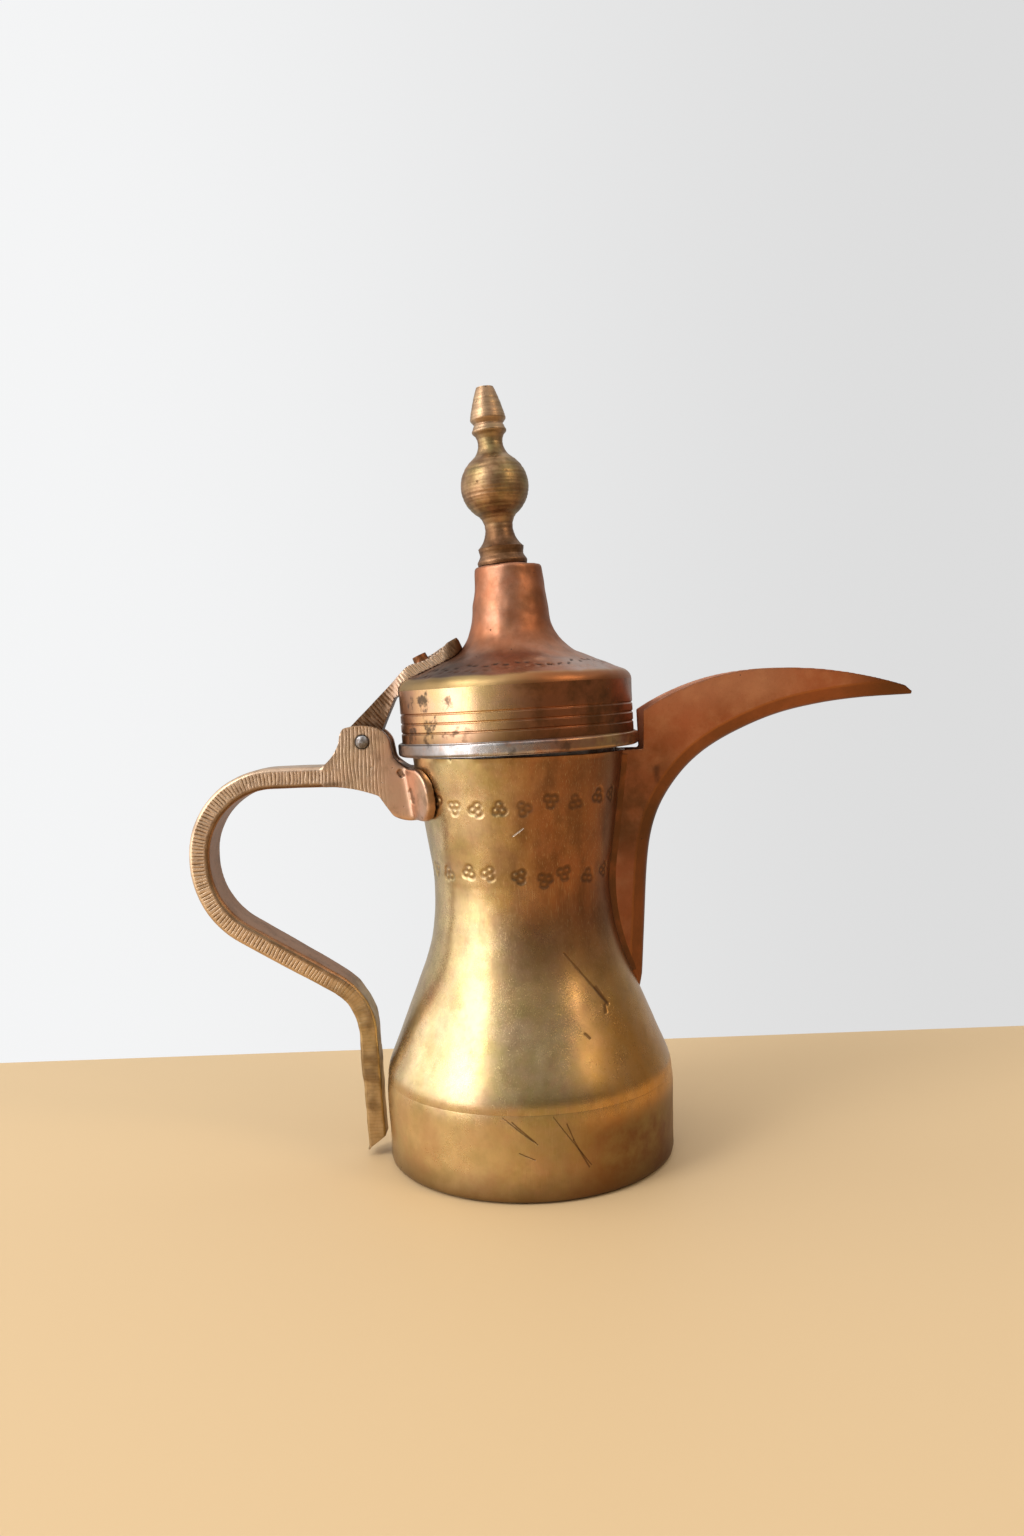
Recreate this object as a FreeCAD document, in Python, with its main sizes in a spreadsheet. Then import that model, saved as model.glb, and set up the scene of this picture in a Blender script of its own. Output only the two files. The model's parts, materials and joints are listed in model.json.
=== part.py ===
import FreeCAD, Part
import math
import os

import Sketcher

# Driving sizes, in millimetres and degrees
POT_SIZES = {
    "crease_radius": 46.4,
    "crease_height": 26.5,
    "base_radius": 46.0,
    "foot_round": 2.2,
    "pan_sheet": 1.4,
    "pan_lap": 6.0,
    "shoulder_inset": 2.0,
    "shoulder_rise": 7.0,
    "waist_radius": 28.65,
    "waist_height": 86.0,
    "waist_curve": 70.0,
    "mouth_radius": 34.1,
    "mouth_height": 129.5,
    "body_sheet": 1.2,
    "pour_width": 9.0,
    "pour_length": 20.0,
    "pour_drop": 8.5,
}
SPOUT_SIZES = {
    "spout_sheet": 0.9,
    "spout_depth": 11.3,
    "spout_tail_height": 50.0,
    "spout_lean": 4.5,
    "spout_bend_drop": 35.0,
    "spout_bend": 45.3,
    "spout_bend_end": 29.3,
    "spout_sweep": 94.6,
    "spout_sweep_end": 6.1,
    "spout_beak": 252.0,
    "spout_wall_angle": 18.0,
    "fold_at_tail": 2.5,
    "fold_at_root": 4.5,
    "fold_at_tip": 1.4,
    "spout_corner_rise": 12.2,
    "spout_crest_rise": 24.1,
    "spout_crest_reach": 80.0,
    "spout_lip_rise": 17.1,
    "spout_lip_reach": 124.0,
    "spout_lip_slope": 38.0,
    "spout_stand": 0.6,
}
HANDLE_SIZES = {
    "handle_span": 53.3,
    "handle_drop": 5.3,
    "upper_loop": 24.4,
    "loop_straight": 1.3,
    "lower_loop": 27.5,
    "grip_slant": 31.7,
    "tail_gap": 1.7,
    "tail_bend": 20.5,
    "tail_lean": 2.0,
    "tail_lift": 1.6,
    "bar_thick": 6.8,
    "bar_width": 15.6,
    "bar_bevel": 1.0,
    "tail_width": 9.0,
    "tail_bevel": 0.9,
    "saddle_thick": 3.2,
    "saddle_angle": 37.0,
    "saddle_height": 17.0,
    "saddle_drop": 3.2,
    "saddle_round": 7.5,
}
HINGE_SIZES = {
    "hinge_offset": 10.5,
    "hinge_rise": 5.3,
    "lug_width": 16.0,
    "lug_round": 7.6,
    "lug_top": 4.5,
    "lug_crown": 18.0,
    "lug_front": 8.8,
    "lug_root": 13.0,
    "lug_flare": 15.0,
    "lug_clear": 0.7,
    "web_round": 10.0,
    "web_flare": 45.0,
    "pin_radius": 2.0,
    "pin_proud": 0.7,
    "pin_clear": 0.05,
    "tang_width": 8.0,
    "tang_clear": 0.35,
    "knuckle_round": 6.4,
    "slot_clear": 0.8,
    "strap_stand": 1.0,
    "strap_drop": 2.0,
    "strap_bend": 3.2,
    "strap_slant": 46.0,
    "paddle_reach": 28.0,
    "paddle_end": 15.4,
    "paddle_neck": 8.0,
    "paddle_round": 5.0,
    "paddle_width": 15.0,
    "paddle_thick": 3.6,
    "paddle_end_thick": 5.0,
    "recess_length": 13.0,
    "recess_width": 7.0,
    "recess_depth": 1.6,
    "scoop_depth": 1.2,
    "rivet_radius": 1.6,
    "rivet_head_radius": 2.6,
    "rivet_head_tall": 3.4,
    "rivet_crown_radius": 2.3,
    "rivet_peen_radius": 2.4,
    "rivet_peen_tall": 0.8,
    "rove_radius": 3.2,
    "rove_thick": 1.0,
    "rove_gap": 0.2,
}
LID_SIZES = {
    "lid_set": 1.3,
    "seat_gap": 0.7,
    "lid_overhang": 3.1,
    "lid_sheet": 1.0,
    "lid_lap": 4.0,
    "rim_proud": 1.4,
    "rim_tall": 4.4,
    "rim_hang": 1.0,
    "rim_round": 1.0,
    "drum_tall": 19.7,
    "line_first": 6.4,
    "line_pitch": 2.9,
    "line_deep": 0.35,
    "line_wide": 0.8,
    "lid_slope": 23.0,
    "lid_corner": 3.5,
    "cone_radius": 11.5,
    "cone_curve": 15.5,
    "cone_taper": 3.0,
    "cone_round": 1.2,
    "lid_tall": 57.6,
    "collar_clear": 2.2,
    "collar_tall": 6.5,
}
FINIAL_SIZES = {
    "finial_offset": 1.6,
    "finial_lean": 2.5,
    "finial_tall": 55.8,
    "tenon_radius": 2.4,
    "tenon_clear": 0.4,
    "tenon_play": 0.6,
    "peen_radius": 3.6,
    "peen_tall": 1.2,
    "finial_rove_radius": 5.0,
    "finial_rove_thick": 1.2,
    "flange_radius": 7.8,
    "flange_tall": 1.5,
    "flange_waist": 6.9,
    "flange_waist_level": 3.1,
    "ring_radius": 7.3,
    "ring_level": 5.4,
    "stem_radius": 4.45,
    "stem_level": 11.8,
    "bulb_radius": 10.8,
    "bulb_level": 24.8,
    "bulb_lower_radius": 6.3,
    "bulb_lower_level": 16.0,
    "bulb_upper_radius": 6.3,
    "bulb_upper_level": 33.6,
    "throat_radius": 3.95,
    "throat_level": 38.6,
    "bead_radius": 5.4,
    "bead_level": 41.6,
    "bead_tall": 0.9,
    "cap_groove_radius": 4.6,
    "cap_groove_level": 44.2,
    "cap_radius": 5.6,
    "cap_level": 45.6,
    "cap_tall": 0.9,
    "cap_curve": 60.0,
    "tip_radius": 2.8,
}
ENGRAVED_LINES = 3
SCOOP_SPAN = (0.1, 0.8)
BEND_SECTION_COUNT = 4
SWEEP_SECTION_COUNT = 3
BEAK_SECTION_COUNT = 2
SHEET_NAME = "Sizes"
TINY = 1e-6


class Size:
    """A number together with the sheet formula that gives it."""

    def __init__(self, value, formula):
        self.value = value
        self.formula = formula

    def __add__(self, other):
        other = as_size(other)
        return Size(self.value + other.value, f"({self.formula} + {other.formula})")

    def __radd__(self, other):
        return as_size(other) + self

    def __sub__(self, other):
        other = as_size(other)
        return Size(self.value - other.value, f"({self.formula} - {other.formula})")

    def __rsub__(self, other):
        return as_size(other) - self

    def __mul__(self, other):
        other = as_size(other)
        return Size(self.value * other.value, f"({self.formula} * {other.formula})")

    def __rmul__(self, other):
        return as_size(other) * self

    def __truediv__(self, other):
        other = as_size(other)
        return Size(self.value / other.value, f"({self.formula} / {other.formula})")

    def __rtruediv__(self, other):
        return as_size(other) / self

    def __neg__(self):
        return Size(-self.value, f"(0 - {self.formula})")


def as_size(number):
    if isinstance(number, Size):
        return number
    return Size(float(number), repr(float(number)))


def sine(angle):
    angle = as_size(angle)
    return Size(math.sin(math.radians(angle.value)), f"sin({angle.formula})")


def cosine(angle):
    angle = as_size(angle)
    return Size(math.cos(math.radians(angle.value)), f"cos({angle.formula})")


def tangent(angle):
    return sine(angle) / cosine(angle)


def root(number):
    return Size(math.sqrt(number.value), f"sqrt({number.formula})")


def larger(first, second):
    return Size(max(first.value, second.value), f"max({first.formula}; {second.formula})")


class Point:
    """A place in a sketch, with a Size for each of its two coordinates."""

    def __init__(self, x, y):
        self.x = as_size(x)
        self.y = as_size(y)

    def __add__(self, other):
        return Point(self.x + other.x, self.y + other.y)

    def __sub__(self, other):
        return Point(self.x - other.x, self.y - other.y)

    def __mul__(self, factor):
        return Point(self.x * factor, self.y * factor)

    def square(self):
        return self.x * self.x + self.y * self.y


def polar(radius, heading):
    return Point(cosine(heading), sine(heading)) * radius


def touch(point, centre, radius, side):
    """Where the line from a point touches a circle, on the side given by a sign."""
    away = point - centre
    square = away.square()
    along = radius * radius / square
    across = radius * root(square - radius * radius) / square * side
    return centre + away * along + Point(-away.y, away.x) * across


def fill_sheet(doc):
    """The sheet of driving sizes, and each of them as a Size by its name."""
    sheet = doc.addObject("Spreadsheet::Sheet", SHEET_NAME)
    sizes = {}
    for group in (POT_SIZES, SPOUT_SIZES, HANDLE_SIZES, HINGE_SIZES, LID_SIZES, FINIAL_SIZES):
        for name, number in group.items():
            row = len(sizes) + 1
            sheet.set(f"A{row}", name)
            sheet.set(f"B{row}", str(number))
            sheet.setAlias(f"B{row}", name)
            sizes[name] = Size(number, f"{SHEET_NAME}.{name}")
    doc.recompute()
    return sizes


class Sizes:
    """The driving sizes as plain attributes."""

    def __init__(self, sizes):
        self.__dict__.update(sizes)


doc = FreeCAD.newDocument("dallah")
s = Sizes(fill_sheet(doc))

# Places that several pieces share
MOUTH = Point(s.mouth_radius, s.mouth_height)
CREASE = Point(s.crease_radius, s.crease_height)
SHOULDER = Point(s.crease_radius - s.shoulder_inset, s.crease_height + s.shoulder_rise)
WAIST_CENTRE = Point(s.waist_radius + s.waist_curve, s.waist_height)
BELLY_TOP = touch(SHOULDER, WAIST_CENTRE, s.waist_curve, -1)
NECK_START = touch(MOUTH, WAIST_CENTRE, s.waist_curve, 1)
SEAT = s.mouth_height + s.seat_gap
LID_RADIUS = s.mouth_radius + s.lid_overhang
RIM_RADIUS = LID_RADIUS + s.rim_proud
DRUM_TOP = SEAT + s.drum_tall
LID_TOP = SEAT + s.lid_tall
HINGE = Point(-(RIM_RADIUS + s.hinge_offset), s.mouth_height + s.hinge_rise)


def neck_radius(level):
    """Outer radius of the straight upper neck at a height."""
    slope = (MOUTH.x - NECK_START.x) / (MOUTH.y - NECK_START.y)
    return MOUTH.x - (MOUTH.y - level) * slope


# Sketching and features
def new_body(name):
    body = doc.addObject("PartDesign::Body", name)
    body.Label = name
    return body


def plane_of(body, role):
    return next(p for p in body.Origin.OriginFeatures if p.Role == role)


def bind(owner, place, size):
    owner.setExpression(place, as_size(size).formula)


def new_sketch(body, name, role):
    sketch = body.newObject("Sketcher::SketchObject", f"{body.Name}_{name}")
    sketch.AttachmentSupport = [(plane_of(body, role), "")]
    sketch.MapMode = "FlatFace"
    return sketch


def tilt_sketch(sketch, axis, angle, x=0, y=0, z=0):
    """Moves a sketch off its plane and turns it about one of the plane's axes."""
    angle = as_size(angle)
    turn = FreeCAD.Rotation(axis, angle.value)
    base = FreeCAD.Vector(as_size(x).value, as_size(y).value, as_size(z).value)
    sketch.AttachmentOffset = FreeCAD.Placement(base, turn)
    bind(sketch, "AttachmentOffset.Base.x", x)
    bind(sketch, "AttachmentOffset.Base.y", y)
    bind(sketch, "AttachmentOffset.Base.z", z)
    bind(sketch, "AttachmentOffset.Rotation.Angle", angle)


def pin_coordinate(sketch, kind, edge, end, size):
    """Holds one coordinate of an edge's end at its size from the sketch's origin."""
    if abs(size.value) < TINY:
        axis = -2 if kind == "DistanceX" else -1
        sketch.addConstraint(Sketcher.Constraint("PointOnObject", edge, end, axis))
        return
    if size.value > 0:
        index = sketch.addConstraint(Sketcher.Constraint(kind, -1, 1, edge, end, size.value))
        bind(sketch, f"Constraints[{index}]", size)
    else:
        index = sketch.addConstraint(Sketcher.Constraint(kind, edge, end, -1, 1, -size.value))
        bind(sketch, f"Constraints[{index}]", -size)


def add_edge(sketch, start, corner):
    """Draws the edge to a corner and returns its number and its first and last end."""
    tip = corner[0]
    first = FreeCAD.Vector(start.x.value, start.y.value, 0)
    last = FreeCAD.Vector(tip.x.value, tip.y.value, 0)
    if len(corner) == 1:
        return sketch.addGeometry(Part.LineSegment(first, last)), 1, 2
    radius = as_size(corner[1])
    chord = last - first
    side = 1 if radius.value > 0 else -1
    reach = math.sqrt(max(radius.value**2 - chord.Length**2 / 4, 0))
    left = FreeCAD.Vector(-chord.y, chord.x, 0).normalize()
    centre = (first + last) / 2 + left * reach * side
    low, high = (first, last) if side > 0 else (last, first)
    angles = [math.atan2(p.y - centre.y, p.x - centre.x) for p in (low, high)]
    circle = Part.Circle(centre, FreeCAD.Vector(0, 0, 1), abs(radius.value))
    edge = sketch.addGeometry(Part.ArcOfCircle(circle, *angles))
    index = sketch.addConstraint(Sketcher.Constraint("Radius", edge, abs(radius.value)))
    bind(sketch, f"Constraints[{index}]", radius if side > 0 else -radius)
    return (edge, 1, 2) if side > 0 else (edge, 2, 1)


def draw(sketch, corners, closed=True):
    """Draws an outline through corners. A corner is a point, or a point with the radius of the
    arc that leads to it: a positive radius turns left on the way, a negative one turns right."""
    corners = [c if isinstance(c, tuple) else (c,) for c in corners]
    edges = []
    for number, corner in enumerate(corners):
        if number or closed:
            edges.append((add_edge(sketch, corners[number - 1][0], corner), corner[0]))
    for number, ((edge, first, last), tip) in enumerate(edges):
        pin_coordinate(sketch, "DistanceX", edge, last, tip.x)
        pin_coordinate(sketch, "DistanceY", edge, last, tip.y)
        if number or closed:
            before = edges[number - 1][0]
            sketch.addConstraint(Sketcher.Constraint("Coincident", before[0], before[2], edge, first))
    if not closed:
        edge, first, _ = edges[0][0]
        pin_coordinate(sketch, "DistanceX", edge, first, corners[0][0].x)
        pin_coordinate(sketch, "DistanceY", edge, first, corners[0][0].y)
    return sketch


def draw_circle(sketch, centre, radius):
    radius = as_size(radius)
    middle = FreeCAD.Vector(centre.x.value, centre.y.value, 0)
    edge = sketch.addGeometry(Part.Circle(middle, FreeCAD.Vector(0, 0, 1), radius.value))
    pin_coordinate(sketch, "DistanceX", edge, 3, centre.x)
    pin_coordinate(sketch, "DistanceY", edge, 3, centre.y)
    index = sketch.addConstraint(Sketcher.Constraint("Radius", edge, radius.value))
    bind(sketch, f"Constraints[{index}]", radius)
    return sketch


def stadium(length, width):
    """Corners of a long round-ended shape along x about the sketch's origin."""
    half = width / 2
    run = length / 2 - half
    end = length / 2
    return [
        Point(run, -half),
        (Point(end, 0), half),
        (Point(run, half), half),
        Point(-run, half),
        (Point(-end, 0), half),
        (Point(-run, -half), half),
    ]


def turn(body, sketch, kind="PartDesign::Revolution", angle=360, both_ways=False):
    feature = body.newObject(kind, sketch.Name + "_turned")
    feature.Profile = sketch
    feature.ReferenceAxis = (sketch, ["V_Axis"])
    feature.Midplane = both_ways
    bind(feature, "Angle", angle)
    return feature


def pad(body, sketch, length, side="Symmetric"):
    feature = body.newObject("PartDesign::Pad", sketch.Name + "_padded")
    feature.Profile = sketch
    feature.SideType = side
    bind(feature, "Length", length)
    return feature


def cut(body, sketch, depth=None, side="Symmetric", backwards=False):
    """Cuts a sketch out of a piece, to a depth or right through."""
    feature = body.newObject("PartDesign::Pocket", sketch.Name + "_cut")
    feature.Profile = sketch
    feature.SideType = side
    feature.Reversed = backwards
    if depth is None:
        feature.Type = "ThroughAll"
    else:
        bind(feature, "Length", depth)
    return feature


def place_on_lid(body, spot=None, lean=0):
    """Sets a piece of the lid: its own spot and lean, then the closed lid's slight tilt at the hinge."""
    spot = spot or Point(0, 0)
    arm = spot - HINGE
    across = HINGE.x + arm.x * cosine(s.lid_set) - arm.y * sine(s.lid_set)
    up = HINGE.y + arm.x * sine(s.lid_set) + arm.y * cosine(s.lid_set)
    angle = s.lid_set + lean
    rotation = FreeCAD.Rotation(FreeCAD.Vector(0, -1, 0), angle.value)
    body.Placement = FreeCAD.Placement(FreeCAD.Vector(across.value, 0, up.value), rotation)
    bind(body, "Placement.Base.x", across)
    bind(body, "Placement.Base.z", up)
    bind(body, "Placement.Rotation.Angle", angle)


# Pot
def pot_skin():
    """The outer side of the pot from the crease up to the mouth."""
    normal = (BELLY_TOP - WAIST_CENTRE) * (1 / s.waist_curve)
    chord = CREASE - SHOULDER
    shoulder_curve = chord.square() / (2 * (chord.x * normal.x + chord.y * normal.y))
    return [CREASE, (SHOULDER, shoulder_curve), BELLY_TOP, (NECK_START, -s.waist_curve), MOUTH]


def pan_lining(level):
    """The inner side of the pan at a height, where the body wall laps into it."""
    slope = (s.crease_radius - s.base_radius) / (s.crease_height - s.foot_round)
    return Point(s.crease_radius - (s.crease_height - level) * slope - s.pan_sheet, level)


def pot_lining():
    """The inner side of the body wall from the mouth down to the lap in the pan."""
    share = s.body_sheet / s.waist_curve
    belly_step = (BELLY_TOP - WAIST_CENTRE) * share
    neck_step = (NECK_START - WAIST_CENTRE) * share
    sheet = Point(s.body_sheet, 0)
    return [
        Point(s.mouth_radius - s.body_sheet, s.mouth_height),
        NECK_START + neck_step,
        (BELLY_TOP + belly_step, s.waist_curve + s.body_sheet),
        SHOULDER + belly_step,
        pan_lining(s.crease_height) - sheet,
        pan_lining(s.crease_height - s.pan_lap) - sheet,
    ]


def make_base_pan():
    body = new_body("base_pan")
    inner_foot = pan_lining(s.pan_sheet + s.foot_round)
    outline = [
        Point(0, 0),
        Point(s.base_radius - s.foot_round, 0),
        (Point(s.base_radius, s.foot_round), s.foot_round),
        CREASE,
        pan_lining(s.crease_height),
        inner_foot,
        (inner_foot - Point(s.foot_round, s.foot_round), -s.foot_round),
        Point(0, s.pan_sheet),
    ]
    turn(body, draw(new_sketch(body, "profile", "XZ_Plane"), outline))
    return body


def make_body_wall():
    body = new_body("body_wall")
    seam = [pan_lining(s.crease_height - s.pan_lap), pan_lining(s.crease_height)]
    turn(body, draw(new_sketch(body, "profile", "XZ_Plane"), pot_skin() + pot_lining() + seam))
    half = s.pour_width / 2
    high = s.mouth_height - s.pour_drop
    low = high - s.pour_length
    hole = [
        (Point(half, low + half), half),
        Point(half, high),
        Point(-half, high),
        Point(-half, low + half),
        (Point(0, low), half),
    ]
    sketch = draw(new_sketch(body, "pour", "YZ_Plane"), hole)
    cut(body, sketch, side="One side", backwards=True)
    return body


# Spout
def spout_fold():
    """The spout's lower line as stations: the point, the heading and how far along the walls open."""
    upright = 90 - s.spout_lean
    bend_level = s.mouth_height - s.spout_bend_drop
    fold_x = s.waist_radius + s.spout_depth
    tail_x = fold_x - (s.waist_height - s.spout_tail_height) * tangent(s.spout_lean)
    bend_x = fold_x + (bend_level - s.waist_height) * tangent(s.spout_lean)
    start = Point(bend_x, bend_level)
    stations = [(Point(tail_x, s.spout_tail_height), upright, s.fold_at_tail)]
    stations.append(((stations[0][0] + start) * 0.5, upright, (s.fold_at_tail + s.fold_at_root) / 2))
    heading = upright
    fold_at_beak = (s.fold_at_root + s.fold_at_tip) / 2
    arcs = (
        (s.spout_bend, s.spout_bend_end, BEND_SECTION_COUNT, s.fold_at_root, s.fold_at_root),
        (s.spout_sweep, s.spout_sweep_end, SWEEP_SECTION_COUNT, s.fold_at_root, fold_at_beak),
        (s.spout_beak, as_size(0), BEAK_SECTION_COUNT, fold_at_beak, s.fold_at_tip),
    )
    for radius, last, steps, fold_from, fold_to in arcs:
        centre = start + Point(sine(heading), -cosine(heading)) * radius
        for step in range(steps):
            share = step / steps
            here = heading + (last - heading) * share
            place = centre + Point(-sine(here), cosine(here)) * radius
            stations.append((place, here, fold_from + (fold_to - fold_from) * share))
        start = centre + Point(-sine(last), cosine(last)) * radius
        heading = last
    stations.append((start, heading, s.fold_at_tip))
    return stations


def fold_section(fold):
    """A folded sheet's section: two straight walls that open from a rounded fold at the origin."""
    angle = s.spout_wall_angle
    tall = s.spout_crest_rise + s.spout_depth
    inner = fold - s.spout_sheet
    up = Point(sine(angle), cosine(angle))
    out = Point(cosine(angle), -sine(angle))
    centre = Point(0, fold)
    outer_low = centre + out * fold
    inner_low = centre + out * inner
    outer_high = outer_low + up * tall
    inner_high = inner_low + up * tall
    right = [outer_high, inner_high, inner_low]
    left = [Point(-p.x, p.y) for p in (inner_low, inner_high, outer_high, outer_low)]
    bottom = [(Point(0, s.spout_sheet), -inner), (left[0], -inner), left[1], left[2], left[3]]
    return right + bottom + [(Point(0, 0), fold), (outer_low, fold)]


def spout_trim():
    """What is cut from the walls above the spout's edge, from the lid's rim to the tip."""
    stand = RIM_RADIUS + s.spout_stand
    corner = Point(stand, s.mouth_height + s.spout_corner_rise)
    crest = Point(s.spout_crest_reach, s.mouth_height + s.spout_crest_rise)
    lip = Point(s.spout_lip_reach, s.mouth_height + s.spout_lip_rise)
    rise = crest - corner
    fall = lip - crest
    rear_curve = rise.square() / (2 * rise.y)
    front_curve = fall.square() / (-2 * fall.y)
    clear = s.spout_lip_reach * 2
    return [
        Point(0, s.mouth_height),
        Point(stand, s.mouth_height),
        corner,
        (crest, -rear_curve),
        (lip, -front_curve),
        Point(clear, lip.y - (clear - lip.x) * tangent(s.spout_lip_slope)),
        Point(clear, clear * 2),
        Point(0, clear * 2),
    ]


def make_spout():
    body = new_body("spout")
    sections = []
    for number, (place, heading, fold) in enumerate(spout_fold()):
        sketch = new_sketch(body, f"section_{number}", "YZ_Plane")
        tilt_sketch(sketch, FreeCAD.Vector(-1, 0, 0), heading, 0, place.y, place.x)
        sections.append(draw(sketch, fold_section(fold)))
    loft = body.newObject("PartDesign::AdditiveLoft", "spout_sheet_walls")
    loft.Profile = sections[0]
    loft.Sections = sections[1:]
    trim = draw(new_sketch(body, "edge", "XZ_Plane"), spout_trim())
    cut(body, trim)
    pot = [Point(0, s.crease_height)] + pot_skin() + [Point(0, s.mouth_height)]
    turn(body, draw(new_sketch(body, "pot_side", "XZ_Plane"), pot), "PartDesign::Groove")
    return body


# Handle and hinge
def octagon(width, thick, bevel):
    half = width / 2
    edge = thick / 2
    return [
        Point(half, bevel - edge),
        Point(half, edge - bevel),
        Point(half - bevel, edge),
        Point(bevel - half, edge),
        Point(-half, edge - bevel),
        Point(-half, bevel - edge),
        Point(bevel - half, -edge),
        Point(half - bevel, -edge),
    ]


def handle_lines():
    """The middle line of the grip in two runs: the loop, and the tapering tail."""
    level = s.mouth_height - s.handle_drop
    far = HINGE.x - s.handle_span
    start = Point(HINGE.x - s.pin_radius, level)
    loop_top = Point(far + s.upper_loop, level)
    loop_side = Point(far, level - s.upper_loop)
    loop_low = Point(far, loop_side.y - s.loop_straight)
    low_centre = Point(far + s.lower_loop, loop_low.y)
    slant_start = low_centre - Point(sine(s.grip_slant), cosine(s.grip_slant)) * s.lower_loop
    pan_radius = larger(s.crease_radius, s.base_radius)
    tail_x = -(pan_radius + s.tail_gap + s.bar_thick / 2)
    bend_x = tail_x - s.tail_bend * cosine(s.tail_lean)
    slant_x = bend_x + s.tail_bend * sine(s.grip_slant)
    slant_end = Point(slant_x, slant_start.y - (slant_x - slant_start.x) * tangent(s.grip_slant))
    bend_level = slant_end.y - s.tail_bend * cosine(s.grip_slant)
    tail_start = Point(tail_x, bend_level + s.tail_bend * sine(s.tail_lean))
    tip = Point(tail_x + (tail_start.y - s.tail_lift) * tangent(s.tail_lean), s.tail_lift)
    loop = [start, loop_top, (loop_side, s.upper_loop), loop_low, (slant_start, s.lower_loop)]
    tail = [slant_start, slant_end, (tail_start, -s.tail_bend), tip]
    return loop, tail


def bar_section(body, name, place, heading, width, bevel):
    sketch = new_sketch(body, name, "YZ_Plane")
    tilt_sketch(sketch, FreeCAD.Vector(-1, 0, 0), heading, 0, place.y, place.x)
    return draw(sketch, octagon(width, s.bar_thick, bevel))


def sweep(body, name, line, sections):
    spine = draw(new_sketch(body, name + "_line", "XZ_Plane"), line, closed=False)
    pipe = body.newObject("PartDesign::AdditivePipe", name)
    pipe.Profile = sections[0]
    pipe.Spine = spine
    if len(sections) > 1:
        pipe.Transformation = "Multisection"
        pipe.Sections = sections[1:]
    return pipe


def lug_outline():
    """Side view of the hinge cheeks and of the web that joins bar, cheeks and saddle."""
    level = s.mouth_height - s.handle_drop
    half = s.bar_thick / 2
    saddle_top = s.mouth_height - s.saddle_drop
    saddle_low = saddle_top - s.saddle_height
    skin = s.saddle_thick / 2
    root_x = HINGE.x - s.lug_root
    brow = root(s.lug_round * s.lug_round - s.lug_top * s.lug_top)
    return [
        Point(root_x, level + half),
        (HINGE - Point(s.lug_round, 0), s.lug_flare),
        (HINGE + Point(-brow, s.lug_top), -s.lug_round),
        (HINGE + Point(s.lug_front / 2, s.lug_top), -s.lug_crown),
        (HINGE + Point(s.lug_front, 0), -s.lug_round),
        Point(-(RIM_RADIUS + s.lug_clear), s.mouth_height),
        Point(-(neck_radius(saddle_top) + skin), saddle_top),
        Point(-(neck_radius(saddle_low) + skin), saddle_low),
        (Point(HINGE.x + s.lug_front, saddle_low + skin), -s.web_round),
        Point(HINGE.x + s.lug_front / 2, level - s.bar_thick),
        (Point(root_x, level - half), s.web_flare),
    ]


def make_handle():
    body = new_body("handle")
    saddle_top = s.mouth_height - s.saddle_drop
    saddle_low = saddle_top - s.saddle_height
    saddle = [
        Point(-neck_radius(saddle_low), saddle_low),
        Point(-neck_radius(saddle_top), saddle_top),
        Point(-(neck_radius(saddle_top) + s.saddle_thick), saddle_top),
        Point(-(neck_radius(saddle_low) + s.saddle_thick), saddle_low),
    ]
    sketch = draw(new_sketch(body, "saddle", "XZ_Plane"), saddle)
    plate = turn(body, sketch, angle=s.saddle_angle * 2, both_ways=True)
    doc.recompute()
    round_saddle(body, plate)
    pad(body, draw(new_sketch(body, "lug", "XZ_Plane"), lug_outline()), s.lug_width)
    loop, tail = handle_lines()
    head = bar_section(body, "grip", loop[0], 180, s.bar_width, s.bar_bevel)
    sweep(body, "handle_loop", loop, [head])
    slant = 360 - s.grip_slant
    neck = bar_section(body, "slant", tail[0], slant, s.bar_width, s.bar_bevel)
    end = bar_section(body, "tip", tail[-1], 270 + s.tail_lean, s.tail_width, s.tail_bevel)
    sweep(body, "handle_tail", tail, [neck, end])
    floor = HINGE.y - s.knuckle_round - s.slot_clear
    slot = [
        Point(HINGE.x - s.lug_root, floor),
        Point(HINGE.x + s.lug_root, floor),
        Point(HINGE.x + s.lug_root, HINGE.y + s.lug_root),
        Point(HINGE.x - s.lug_root, HINGE.y + s.lug_root),
    ]
    cut(body, draw(new_sketch(body, "slot", "XZ_Plane"), slot), s.tang_width + s.tang_clear * 2)
    cut(body, draw_circle(new_sketch(body, "bore", "XZ_Plane"), HINGE, s.pin_radius))
    return body


def round_saddle(body, plate):
    """Rounds the four corners of the saddle, seen along its face."""
    corners = []
    for number, edge in enumerate(plate.Shape.Edges, 1):
        first, last = (edge.Vertexes[0].Point, edge.Vertexes[-1].Point)
        level = abs(first.z - last.z) < TINY
        if level and abs(edge.Length - s.saddle_thick.value) < TINY:
            corners.append(f"Edge{number}")
    fillet = body.newObject("PartDesign::Fillet", "saddle_corners")
    fillet.Base = (plate, corners)
    bind(fillet, "Radius", s.saddle_round)


def make_hinge_pin():
    body = new_body("hinge_pin")
    half = s.lug_width / 2
    end = half + s.pin_proud
    dome = (s.pin_radius * s.pin_radius + s.pin_proud * s.pin_proud) / (2 * s.pin_proud)
    outline = [
        Point(0, -end),
        (Point(s.pin_radius, -half), dome),
        Point(s.pin_radius, half),
        (Point(0, end), dome),
    ]
    turn(body, draw(new_sketch(body, "profile", "XZ_Plane"), outline))
    place = FreeCAD.Vector(HINGE.x.value, 0, HINGE.y.value)
    body.Placement = FreeCAD.Placement(place, FreeCAD.Rotation(FreeCAD.Vector(1, 0, 0), 90))
    bind(body, "Placement.Base.x", HINGE.x)
    bind(body, "Placement.Base.z", HINGE.y)
    return body


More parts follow.
